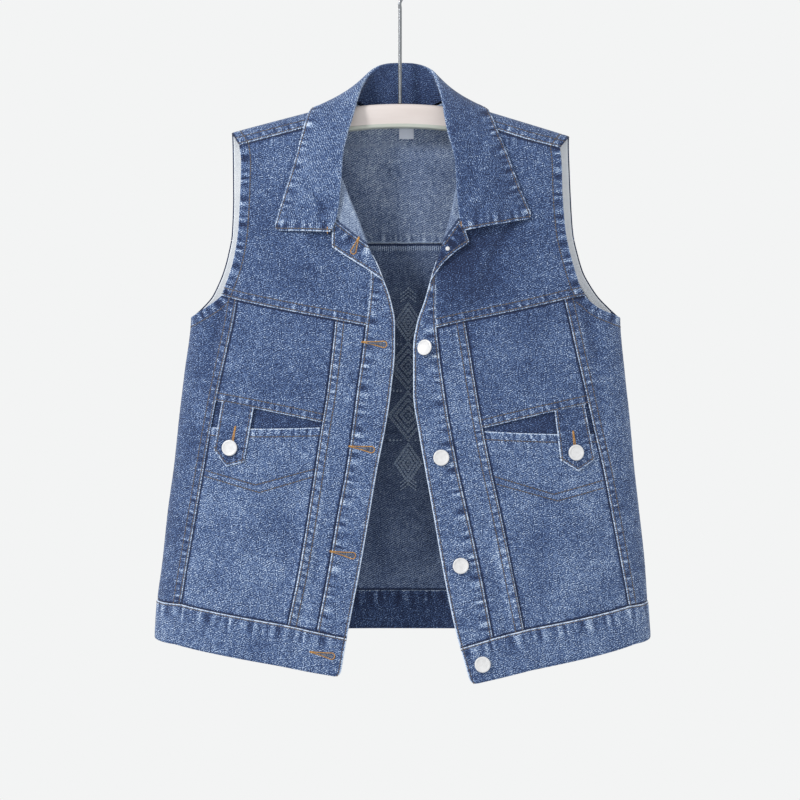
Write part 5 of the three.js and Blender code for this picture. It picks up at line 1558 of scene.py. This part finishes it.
def make_collar():
    """One shell: stand up from the neck seam, a half-round fold, and the leaf turned down."""
    stations = 105
    parts = []
    for side in SIDES:
        rows = [{**row, "k": k} for k, row in enumerate(COLLAR[side])]
        k = np.linspace(0, len(rows) - 1, stations)
        values = {name: smooth(rows, "k", name)(k) for name in rows[0] if name != "k"}
        values["sign"] = np.full(stations, float(SIGN[side]))
        values["end"] = k / k[-1]
        parts.append({key: v[::-1] if side == "left" else v[1:] for key, v in values.items()})
    at = {key: np.concatenate([parts[0][key], parts[1][key]]) for key in parts[0]}

    def on_body(x, fall, lift):
        n = slopes(shoulder_point, x, fall, NO_SIDE)
        p = shoulder_point(x, fall)
        n = n * np.where((n * away_from_shoulder(p)).sum(-1, keepdims=True) < 0, -1, 1)
        return p + lift * n

    sign = at["sign"]
    head = np.stack([sign * at["foldX"], at["foldY"], at["foldZ"]], -1)
    neck = sign * at["neckX"]
    start = on_body(neck, at["neckFall"], LEAF_LIFT)
    edge_mm = np.array([0, 0.3, 0.8, 1.6, 2.8])
    shares = np.concatenate([np.linspace(0, 1 - edge_mm[-1] / 75, 26), 1 - edge_mm[-2::-1] / 75])

    def leaf(share):
        share = share[:, None]
        x = mix(neck, sign * at["leafX"], share)
        fall = mix(at["neckFall"], at["leafFall"], share)
        return on_body(x, fall, LEAF_LIFT) + (head - start) * ((1 - share) ** LEAF_FULLNESS)[..., None]

    leaf_rows = leaf(shares)
    ahead = leaf(np.array([0.03]))[0]
    way = leaf_rows[0] - ahead
    way = way / np.linalg.norm(way, axis=1, keepdims=True)
    run = np.gradient(leaf_rows[0], axis=0)
    out = np.cross(run, way)
    out = out / np.linalg.norm(out, axis=1, keepdims=True)
    toward = np.stack([leaf_rows[0][:, 0], leaf_rows[0][:, 1] * 1.5, 60 + 0 * sign], -1)
    out = out * np.where((out * toward).sum(1, keepdims=True) < 0, -1, 1)
    radius = mix(2.7, 1.5, np.clip(at["end"] * 1.6 - 0.3, 0, 1))[:, None]
    angle = np.linspace(np.pi, 0, 11)[:-1, None, None]
    centre = leaf_rows[0] - radius * out
    turn = centre + radius * (np.cos(angle) * out + np.sin(angle) * way)
    on_top = np.clip((at["neckFall"] + 4) / 3, 0, 1)
    foot = on_body(neck, at["neckFall"], mix(-CLOTH / 2, 0.3, on_top)[:, None])
    share = np.linspace(1, 0, 12)[:-1, None, None]
    reach = np.clip(1.15 - 0.9 * at["end"], 0.12, 1.0)[:, None]
    stand = mix(turn[0], mix(turn[0], foot, reach), share)
    grid = np.concatenate([stand, turn, leaf_rows])
    du = np.gradient(grid, axis=1)
    dv = np.gradient(grid, axis=0)
    normal = np.cross(du, dv)
    normal = normal / np.maximum(np.linalg.norm(normal, axis=-1, keepdims=True), 1e-9)
    first = len(stand) + len(turn)
    if (normal[first + 5] * out).sum() < 0:
        normal = -normal
    seams = {"top": "plain", "bottom": "collar", "left": "collar", "right": "collar"}
    across_mm = np.concatenate([np.zeros((1, len(sign))), np.cumsum(
        np.linalg.norm(np.diff(grid, axis=0), axis=-1), axis=0)])
    across_mm = across_mm - across_mm[first]
    creases = fold_height("collar", grid[..., 0], grid[..., 2], CREASES) * (across_mm > 0)
    piece = Piece(grid, normal, seams, wall=1.4, tone=0.02, seed=3.9, creases=creases,
                  corners=SIDES)
    length = np.concatenate([[0], np.cumsum(np.linalg.norm(np.diff(leaf_rows[14], axis=0), axis=1))])
    piece.flat = np.stack([np.broadcast_to(length - length[stations], across_mm.shape), across_mm],
                          -1) * MM
    worn_fold = np.exp(-((across_mm + 3) / 2.5) ** 2) * 0.35
    piece.marks["pale"] = np.maximum(piece.marks["pale"], worn_fold)
    # Painted shade: the stand is painted darker where it lies in shadow, the right side a little
    # darker than the left, and a dark fold is painted into the crumpled left front corner
    crumple_painted_shade = np.exp(-((grid[..., 0] + 83) / 8) ** 2 - ((grid[..., 2] + 273) / 7) ** 2)
    piece.shade = np.where(across_mm < -4, -0.21, 0.0) - 0.12 * np.clip(
        grid[..., 0] / 60, 0, 1) - 0.2 * crumple_painted_shade * (across_mm > 0)
    PIECES["collar"] = (piece, seams)
    obj = wall_mesh(piece, "collar_cloth", ["collar_leaf", "collar_stand"], "denim",
                    [MATERIALS["denim"], MATERIALS["denim"]])
    declare(piece)


# ---- Stitching, buttonholes and the motif ----

# Decorative twin rows in a shallow V across each pocket, by x and z
POCKET_ROWS = {
    "left": [[(-208, -552), (-153, -567), (-90, -550)], [(-209, -558), (-149, -575), (-91, -558)]],
    "right": [[(100, -558), (163, -577), (219, -562)], [(102, -566), (167, -584), (220, -570)]],
}

# Buttonholes: the piece they are cut in, the narrow end, the round end and its half width
BUTTONHOLES = table(["piece", "x1", "z1", "x2", "z2", "eye"], [
    ["placket_left", -39.5, -415.5, -14, -418.5, 3.4],
    ["placket_left", -53, -526, -27, -530, 3.4],
    ["placket_left", -73, -637, -47, -642, 3.4],
    ["hem_band_left", -94, -743, -69, -748, 3.4],
    ["lapel_placket_left", -44, -305, -50.5, -322, 2.9],
    ["pocket_tab_left", -175, -506, -178.5, -524, 0.9],
    ["pocket_tab_right", 184, -511, 186, -529, 0.9],
])
# Upright bar tacks where the collar's corners meet the turned-out fronts
BAR_TACKS = {"left": (-77, -297), "right": (65, -290)}
BAR_TACK_HALF = 3.5


def bent_path(piece, corners):
    """A path through corners on a piece, with its normals."""
    points = np.asarray(corners, float)
    parts = []
    for k in range(len(points) - 1):
        count = max(int(np.linalg.norm(points[k + 1] - points[k]) / 2), 2)
        parts.append(mix(points[k], points[k + 1], np.linspace(0, 1, count)[:-1, None]))
    path = np.concatenate(parts + [points[-1:]])
    return piece.under(path[:, 0], path[:, 1])


def make_stitching():
    """Top-stitching along every seam that has it, and the rows across the pockets."""
    sewing = bpy.context.scene.vest_sewing
    sizes = [value / MM for value in (sewing.length, sewing.pitch, sewing.width)]
    for name, (piece, seams) in PIECES.items():
        rows = seam_rows(piece, seams)
        if name.startswith("pocket_front"):
            side = name.rsplit("_", 1)[1]
            rows += [bent_path(piece, corners) for corners in POCKET_ROWS[side]]
        rows = [row for row in rows if len(row[0]) > 3]
        if rows:
            sewing_object(f"stitches_{name}", [stitches(*row, *sizes) for row in rows], "thread")
            # A dark band under each row: painted shadow in the row's groove
            sewing_object(f"stitch_shadow_lines_{name}", [ribbon(*row) for row in rows], "stitch_shadow")


def keyhole(piece, start, end, eye):
    """Lines of a keyhole that widens from its tip to a round eye: its edge, tip bar and slit."""
    a, b = np.asarray(start, float), np.asarray(end, float)
    length = np.linalg.norm(b - a)
    d = (b - a) / length
    n = np.array([-d[1], d[0]])
    s = np.linspace(0, 1, 40)[:, None]
    half = mix(0.45, eye, s ** 1.4)
    straight = a + d * (length - eye) * s
    turn = np.linspace(math.pi / 2, -math.pi / 2, 24)[1:-1, None]
    ring = a + d * (length - eye) + eye * (np.cos(turn) * d + np.sin(turn) * n)
    outline = np.concatenate([straight + n * half, ring, (straight - n * half)[::-1]])
    bar = a + mix(-1.5 * d, 4.5 * d, np.linspace(0, 1, 8)[:, None])
    slit = mix(a + 3 * d, b - 1.5 * d, np.linspace(0, 1, 16)[:, None])
    return [piece.under(path[:, 0], path[:, 1]) for path in (outline, bar, slit)]


def make_buttonholes():
    """Buttonholes in golden thread round a dark slit of frayed yarn and painted shade, and bar tacks
    at the collar's ends.
    """
    for number, row in enumerate(BUTTONHOLES, 1):
        piece, eye = PIECES[row["piece"]][0], row["eye"]
        edge, bar, slit = keyhole(piece, (row["x1"], row["z1"]), (row["x2"], row["z2"]), eye)
        sewing_object(f"buttonhole_{number}", [satin(*edge, 0.55, 1.5, 0.62, 0.5),
                                               satin(*bar, 0.5, 2.4, 0.6, 0.6)], "gold")
        sewing_object(f"buttonhole_slit_{number}", [satin(*slit, 0.7, 1.1 * eye, 0.8, 0.2)], "cut")
    for side, (x, z) in BAR_TACKS.items():
        z = np.linspace(z - BAR_TACK_HALF, z + BAR_TACK_HALF, 6)
        row = PIECES["collar"][0].under(np.full(6, float(x)), z)
        sewing_object(f"bar_tack_{side}", [satin(*row, 0.5, 1.6, 0.6, 0.5)], "gold")


def inner_spot(piece, x, z):
    """Point and normal of the inner face at x and z."""
    p, n = piece.under(x, z)
    return p - n * (piece.wall + 0.05), -n


def make_motif():
    """Wrong side of a machine-stitched ornament on the back: rhombi, crosses and chevrons."""
    piece = PIECES["back_panel"][0]
    rows = []

    def polyline(corners):
        points = np.asarray(corners, float)
        path = np.concatenate([mix(points[k], points[k + 1], np.linspace(0, 1, 10)[:, None])
                               for k in range(len(points) - 1)])
        rows.append(inner_spot(piece, path[:, 0], path[:, 1]))

    middle = 9
    for height, wide, tall in ((-392, 15, 22), (-440, 22, 27), (-494, 22, 27), (-546, 15, 22)):
        for share in (1.0, 0.9, 0.7, 0.6, 0.4, 0.3, 0.12):
            w, h = wide * share, tall * share
            polyline([(middle, height + h), (middle + w, height), (middle, height - h),
                      (middle - w, height), (middle, height + h)])
    for height in (-416, -467, -521):
        for sign in (-1, 1):
            for k in range(4):
                x = middle + sign * (8 + 4 * k)
                polyline([(x - 2, height), (x + 2, height)])
                polyline([(x, height - 2.4), (x, height + 2.4)])
    for height in (-366, -572):
        for k in range(3):
            z = height + 4 * k
            polyline([(middle - 9, z - 4), (middle, z + 3), (middle + 9, z - 4)])
    sewing_object("back_motif_stitches", [stitches(*row, 2.6, 2.8, 1.3, 0.3) for row in rows],
                  "pale_thread")


def make_overlock():
    """Overlocked edge of the yoke seam, inside the back: loops on the allowance below the seam
    and a raised pale edge above it."""
    x = np.linspace(-BACK["seamTop"] + 3, BACK["seamTop"] - 3, 300)
    seam = yoke_seam_height(x)
    wave = 0.4 * ripple(x, 0.4, 23)
    edge = inner_spot(PIECES["back_yoke"][0], x, seam + 1.3 + wave)
    loops = inner_spot(PIECES["back_panel"][0], x, seam - 5 + wave)
    sewing_object("overlock_back_yoke", [satin(*edge, 1.4, 2.6, 1.3, 2.0),
                                         satin(*loops, 2.1, 6.4, 0.8, 0.3)], "pale_thread")


# ---- Buttons and hanger ----

def lathe(profile, sides=40):
    """Points and quads of a profile of radius and height turned round an axis."""
    profile = np.asarray(profile, float)
    angle = np.arange(sides) * 2 * np.pi / sides
    points = np.stack([profile[:, None, 0] * np.cos(angle), profile[:, None, 0] * np.sin(angle),
                       np.broadcast_to(profile[:, None, 1], (len(profile), sides))], -1)
    at = np.arange(len(profile) * sides).reshape(len(profile), sides)
    a, b = at[:-1], at[1:]
    faces = np.stack([a, np.roll(a, -1, 1), np.roll(b, -1, 1), b], -1).reshape(-1, 4)
    return points.reshape(-1, 3), faces


# Shank button: from the cloth up the shank, round the rim and over the slightly dished face
BUTTON_PROFILE = [(0.05, 0), (3.6, 0), (3.8, 0.4), (3.8, 1.1), (7.4, 1.2), (8.1, 1.5), (8.45, 2.1),
                  (8.5, 2.7), (8.25, 3.2), (7.8, 3.45), (7.2, 3.5), (6.6, 3.35), (6.1, 3.05),
                  (5.2, 2.9), (3.0, 2.8), (0.05, 2.78)]
HIDDEN_PROFILE = [(r, h * 0.63) for r, h in BUTTON_PROFILE]
# Back of the hidden button's rivet, a small domed disc on the wrong side of the cloth
RIVET_PROFILE = [(2.3, -0.3), (2.3, 0.35), (1.9, 0.65), (1.0, 0.85), (0.05, 0.9)]
RIVET_AT = (50.5, -316.5)


def body_spot(x, z):
    """Point and normal of the fronts' form at x and z."""
    sign = -1 if x < 0 else 1
    t = across(sign, x, z)
    spot = body_point("front", sign, t, z)
    n = slopes(lambda a, b: body_point("front", sign, a, b), np.array([t]), np.array([z]), 1.0)[0]
    return spot, n * (1 if n @ away_from_middle(spot) > 0 else -1)


def make_button(name, node, spot, n, lift, profile, turn=0.0):
    """A lathed button standing on the cloth along its normal, turned about the upright."""
    c, s = math.cos(turn), math.sin(turn)
    n = np.array([c * n[0] - s * n[1], s * n[0] + c * n[1], n[2] - 0.25 * s])
    n = n / np.linalg.norm(n)
    u = np.cross([0, 0, 1.0], n)
    u = u / np.linalg.norm(u)
    v = np.cross(n, u)
    points, faces = lathe(profile)
    placed = spot + lift * n + points[:, :1] * u + points[:, 1:2] * v + points[:, 2:] * n
    make_object(name, placed, faces, node, "button", [MATERIALS["enamel"]])


def make_buttons():
    """Six shank buttons that show, and the one under the turned-out right front."""
    for row in BUTTONS:
        turn = math.radians(-30) if row["name"] == "button_2" else 0.0
        lift = 0.3 + row["lift"] + (1.2 if turn else 0.0)
        make_button(row["name"] + "_cap", [row["name"]], *body_spot(row["x"], row["z"]), lift,
                    BUTTON_PROFILE, turn)
    make_button("button_1_cap", ["button_1"], *body_spot(*HIDDEN_BUTTON_AT), 0.5, HIDDEN_PROFILE)
    points, normals = PIECES["lapel_placket_right"][0].under(*np.array(RIVET_AT)[:, None])
    make_button("button_1_rivet_back", [], points[0], normals[0], 0.0, RIVET_PROFILE)


def tube(path, radius, sides=14):
    """A round wall along a path: its rings stand square to the path, and its ends are closed."""
    d = np.gradient(path, axis=0)
    d = d / np.linalg.norm(d, axis=1, keepdims=True)
    side = np.array([0, 1.0, 0])
    u = np.cross(d, side)
    u = u / np.linalg.norm(u, axis=1, keepdims=True)
    angle = np.arange(sides) * 2 * np.pi / sides
    radius = np.broadcast_to(radius, len(path))[:, None, None]
    rings = path[:, None] + radius * (np.cos(angle)[:, None] * u[:, None]
                                      + np.sin(angle)[:, None] * side)
    at = np.arange(len(path) * sides).reshape(len(path), sides)
    a, b = at[:-1], at[1:]
    faces = np.stack([a, b, np.roll(b, -1, 1), np.roll(a, -1, 1)], -1).reshape(-1, 4)
    return rings.reshape(-1, 3), faces


def make_hanger():
    """Arched bar with a rounded top and a thin lip below its face, and the wire hook."""
    half = BAR["halfThick"]
    deep = BAR["height"]
    section = np.array([
        (0, 0), (1.6, -0.3), (3.0, -1.0), (4.3, -2.1), (5.2, -3.4), (5.8, -5.0), (half, -6.6),
        (half, -deep + 4.4), (half - 0.1, -deep + 4.0), (half + 0.35, -deep + 3.8),
        (half + 0.45, -deep + 3.3), (half + 0.45, -deep + 1.2), (half + 0.1, -deep + 0.5),
        (half - 0.8, -deep), (0, -deep)])
    ring = np.concatenate([section, section[-2:0:-1] * (-1, 1)])
    x = np.concatenate([[-150, -149.6, -148.6, -146.5], np.linspace(-143, 143, 73),
                        [146.5, 148.6, 149.6, 150]])
    arch = BAR["archTop"] - BAR["archDrop"] * x * x
    seat = shoulder_height(x) - CLOTH - BAR["seat"]
    top = -np.logaddexp(-arch * 2, -seat * 2) / 2
    end = np.clip((150 - np.abs(x)) / 3.5, 0, 1)
    round_end = np.sqrt(np.clip(1 - (1 - end) ** 2, 0.02, 1))
    thick = (0.4 + 0.6 * round_end)[:, None]
    loops = np.stack([np.broadcast_to(x[:, None], (len(x), len(ring))), ring[:, 0] * thick,
                      top[:, None] - 1.5 * (1 - round_end[:, None])
                      + ring[:, 1] * (0.86 + 0.14 * round_end)[:, None]], -1)
    count = len(ring)
    at = np.arange(len(x) * count).reshape(len(x), count)
    a, b = at[:-1], at[1:]
    faces = np.stack([a, np.roll(a, -1, 1), np.roll(b, -1, 1), b], -1).reshape(-1, 4)
    cap = len(x) * count
    points = np.concatenate([loops.reshape(-1, 3), loops[0].mean(0)[None], loops[-1].mean(0)[None]])
    lip = np.zeros((len(x) - 1, count))
    low = np.arange(count)
    lip[:, (low >= 8) & (low <= count - 9)] = 1
    ends = np.concatenate([
        np.stack([np.full(count, cap), np.roll(at[0], -1), at[0], np.full(count, cap)], -1),
        np.stack([np.full(count, cap + 1), at[-1], np.roll(at[-1], -1), np.full(count, cap + 1)], -1)])
    bar = make_bar_object(points, faces[:, ::-1], ends[:, 2::-1], lip.ravel())
    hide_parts("hanger_bar")

    r, wire = HOOK["radius"], bpy.context.scene.vest_fittings.wire / MM
    centre = -r + wire
    angle = np.linspace(0, HOOK["turn"], 9)
    bend = np.stack([r * np.cos(angle), 0 * angle, centre + r * np.sin(angle)], -1)
    stem = [(0, 0, z) for z in (BAR["archTop"] + 0.3, *HOOK["stem"])]
    neck = [(r * 0.62, 0, centre - r * 0.88)]
    path = curve_through(np.concatenate([stem, neck, bend]), 170)
    path[:, 1] = 0
    tip = np.sqrt(np.clip(1 - np.linspace(0, 1, 6) ** 2, 0.01, 1))
    size = np.full(len(path), float(wire))
    size[-6:] = wire * tip
    size[0] = wire * 0.98
    points, faces = tube(path, size)
    make_object("hook_wire", points, faces, ["hook"], "hook_wire", [MATERIALS["wire"]])


def make_bar_object(points, quads, triangles, lip):
    """The bar's mesh: quads along it and fans of triangles at its ends."""
    mesh = bpy.data.meshes.new("hanger_bar_moulding")
    mesh.from_pydata((points * MM).tolist(), [], quads.tolist() + triangles.tolist())
    for key in ("bar", "lip"):
        mesh.materials.append(MATERIALS[key])
    index = np.concatenate([lip, np.zeros(len(triangles))]).astype(np.int32)
    mesh.polygons.foreach_set("material_index", index)
    mesh.polygons.foreach_set("use_smooth", np.ones(len(index), bool))
    mesh.update()
    obj = bpy.data.objects.new("hanger_bar_moulding", mesh)
    bpy.context.scene.collection.objects.link(obj)
    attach(obj, "root")
    return obj


# ---- Stage ----

CAMERA = {"height": -0.477, "frame": 0.864}


def make_stage():
    """Camera at the photograph's angle, pale floor, near-white surround and soft lights."""
    scene = bpy.context.scene
    distance = scene.vest_stage.distance
    camera = bpy.data.cameras.new("camera")
    camera.sensor_width = 36.0
    camera.lens = 36.0 * distance / CAMERA["frame"]
    view = bpy.data.objects.new("camera", camera)
    view.location = (0, -distance, CAMERA["height"])
    view.rotation_euler = (math.radians(90), 0, 0)
    scene.collection.objects.link(view)
    scene.camera = view

    u = np.linspace(0, 2 * np.pi, 64, endpoint=False)
    rim = np.stack([1300 * np.cos(u), 1300 * np.sin(u), np.full(64, -1500.0)], -1)
    mesh = bpy.data.meshes.new("floor")
    mesh.from_pydata((rim * MM).tolist(), [], [list(range(64))])
    mesh.materials.append(MATERIALS["floor"])
    floor = bpy.data.objects.new("floor", mesh)
    scene.collection.objects.link(floor)

    world = bpy.data.worlds.new("studio")
    scene.world = world
    world.use_nodes = True
    background = world.node_tree.nodes["Background"]
    background.inputs["Color"].default_value = scene.vest_stage.surround
    background.inputs["Strength"].default_value = 1.0
    scene.view_settings.view_transform = "Standard"

    for name, place, size, power in (
            ("key_light", (-1.9, -1.8, 0.9), 0.7, scene.vest_stage.power),
            ("fill_light", (1.8, -1.8, -0.3), 1.8, 4.0),
            ("back_light", (-0.8, 2.0, 0.6), 1.5, 14.0)):
        light = bpy.data.lights.new(name, "AREA")
        light.shape = "DISK"
        light.size = size
        light.energy = power
        lamp = bpy.data.objects.new(name, light)
        lamp.location = place
        aim = np.array([0, 0, -0.45]) - np.array(place)
        yaw = math.atan2(aim[1], aim[0]) - math.pi / 2
        pitch = math.atan2(aim[2], math.hypot(aim[0], aim[1]))
        lamp.rotation_euler = (math.pi / 2 + pitch, 0, yaw)
        scene.collection.objects.link(lamp)


# ---- Add-on: settings, operators and panel ----

def colour(name, description, code):
    """A colour property whose default is an sRGB hex value."""
    return FloatVectorProperty(name=name, description=description, subtype="COLOR", size=4,
                               min=0, max=1, default=linear(code))


class VestClothSettings(bpy.types.PropertyGroup):
    """The cloth's mesh and colours."""

    spacing: FloatProperty(name="Mesh spacing", description="Distance between the cloth's points",
                           default=3.0 * MM, min=2.0 * MM, max=12 * MM, unit="LENGTH",
                           subtype="DISTANCE")
    pucker: FloatProperty(name="Puckers", description="Height of the gathers at seams, as a share",
                          default=1.0, min=0, max=2, subtype="FACTOR")
    deep: colour("Deep indigo", "Darkest threads of the outer face", "#141f3c")
    pale: colour("Washed pale", "Palest threads of the outer face", "#c0cde0")


class VestSewingSettings(bpy.types.PropertyGroup):
    """Threads and stitches."""

    length: FloatProperty(name="Stitch length", description="Length of one top stitch",
                          default=2.7 * MM, min=1 * MM, max=6 * MM, unit="LENGTH",
                          subtype="DISTANCE")
    pitch: FloatProperty(name="Stitch pitch", description="From one top stitch to the next",
                         default=3.4 * MM, min=1 * MM, max=8 * MM, unit="LENGTH",
                         subtype="DISTANCE")
    width: FloatProperty(name="Thread width", description="Width of the top-stitching thread",
                         default=1.1 * MM, min=0.2 * MM, max=1.5 * MM, unit="LENGTH",
                         subtype="DISTANCE")
    gold: colour("Buttonhole thread", "Light tone of the buttonhole thread", "#d3a55c")
    brown: colour("Top-stitching thread", "Light tone of the top-stitching thread", "#6f5f54")


class VestFittingSettings(bpy.types.PropertyGroup):
    """Buttons and hanger."""

    enamel: colour("Button enamel", "Light tone of the buttons", "#d2d2d3")
    plastic: colour("Hanger bar", "Light tone of the bar", "#d6cecb")
    wire: FloatProperty(name="Wire radius", description="Radius of the hook's wire",
                        default=2.0 * MM, min=1 * MM, max=4 * MM, unit="LENGTH",
                        subtype="DISTANCE")


class VestStageSettings(bpy.types.PropertyGroup):
    """Camera, floor and light."""

    distance: FloatProperty(name="Camera distance", description="From the garment's middle plane",
                            default=2.2, min=1, max=6, unit="LENGTH", subtype="DISTANCE")
    power: FloatProperty(name="Key light", description="Power of the main light", default=56.0,
                         min=1, max=500, unit="POWER")
    surround: colour("Surround", "Colour of the room's light", "#f3f4f4")


class VEST_OT_materials(bpy.types.Operator):
    """Makes every finish of the garment and the hanger"""

    bl_idname = "vest.materials"
    bl_label = "Materials"

    def execute(self, context):
        make_materials(context.scene)
        return {"FINISHED"}


class VEST_OT_fronts(bpy.types.Operator):
    """Makes the yoke, side, strip, placket, pocket and band of each front"""

    bl_idname = "vest.fronts"
    bl_label = "Fronts"

    def execute(self, context):
        for side in SIDES:
            make_fronts(side)
        return {"FINISHED"}


class VEST_OT_back(bpy.types.Operator):
    """Makes the back's pieces, the armhole facings and the size tab"""

    bl_idname = "vest.back"
    bl_label = "Back"

    def execute(self, context):
        make_back()
        return {"FINISHED"}


class VEST_OT_lapels(bpy.types.Operator):
    """Makes the turned-out tops of the fronts"""

    bl_idname = "vest.lapels"
    bl_label = "Turned-out tops"

    def execute(self, context):
        for side in SIDES:
            make_lapel(side)
        return {"FINISHED"}


class VEST_OT_tabs(bpy.types.Operator):
    """Makes the button tabs over the pockets"""

    bl_idname = "vest.tabs"
    bl_label = "Pocket tabs"

    def execute(self, context):
        for side in SIDES:
            make_tab(side)
        return {"FINISHED"}


class VEST_OT_collar(bpy.types.Operator):
    """Makes the collar: stand, fold and leaf"""

    bl_idname = "vest.collar"
    bl_label = "Collar"

    def execute(self, context):
        make_collar()
        return {"FINISHED"}


class VEST_OT_sewing(bpy.types.Operator):
    """Makes the top-stitching, buttonholes, bar tacks, overlocking and the back's motif"""

    bl_idname = "vest.sewing"
    bl_label = "Sewing"

    def execute(self, context):
        make_stitching()
        make_buttonholes()
        make_motif()
        make_overlock()
        return {"FINISHED"}


class VEST_OT_buttons(bpy.types.Operator):
    """Makes the shank buttons"""

    bl_idname = "vest.buttons"
    bl_label = "Buttons"

    def execute(self, context):
        make_buttons()
        return {"FINISHED"}


class VEST_OT_hanger(bpy.types.Operator):
    """Makes the hanger's bar and hook"""

    bl_idname = "vest.hanger"
    bl_label = "Hanger"

    def execute(self, context):
        make_hanger()
        return {"FINISHED"}


class VEST_OT_stage(bpy.types.Operator):
    """Makes the camera, floor, surround and lights"""

    bl_idname = "vest.stage"
    bl_label = "Stage"

    def execute(self, context):
        make_stage()
        return {"FINISHED"}


class VEST_PT_panel(bpy.types.Panel):
    """Lists the settings and the operators"""

    bl_label = "Vest"
    bl_space_type = "VIEW_3D"
    bl_region_type = "UI"
    bl_category = "Vest"

    def draw(self, context):
        for key in SETTINGS:
            group = getattr(context.scene, key)
            for name in group.__annotations__:
                self.layout.prop(group, name)
        for kind in OPERATORS:
            self.layout.operator(kind.bl_idname)


SETTINGS = {"vest_cloth": VestClothSettings, "vest_sewing": VestSewingSettings,
            "vest_fittings": VestFittingSettings, "vest_stage": VestStageSettings}
OPERATORS = (VEST_OT_materials, VEST_OT_fronts, VEST_OT_back, VEST_OT_lapels, VEST_OT_tabs,
             VEST_OT_collar, VEST_OT_sewing, VEST_OT_buttons, VEST_OT_hanger, VEST_OT_stage)


def register():
    for kind in (*SETTINGS.values(), *OPERATORS, VEST_PT_panel):
        bpy.utils.register_class(kind)
    for key, kind in SETTINGS.items():
        setattr(bpy.types.Scene, key, PointerProperty(type=kind))


def unregister():
    for key in SETTINGS:
        delattr(bpy.types.Scene, key)
    for kind in reversed((*SETTINGS.values(), *OPERATORS, VEST_PT_panel)):
        bpy.utils.unregister_class(kind)


def main():
    """Makes everything in order."""
    register()
    for kind in OPERATORS:
        group, name = kind.bl_idname.split(".")
        getattr(getattr(bpy.ops, group), name)()


if __name__ == "__main__":
    main()
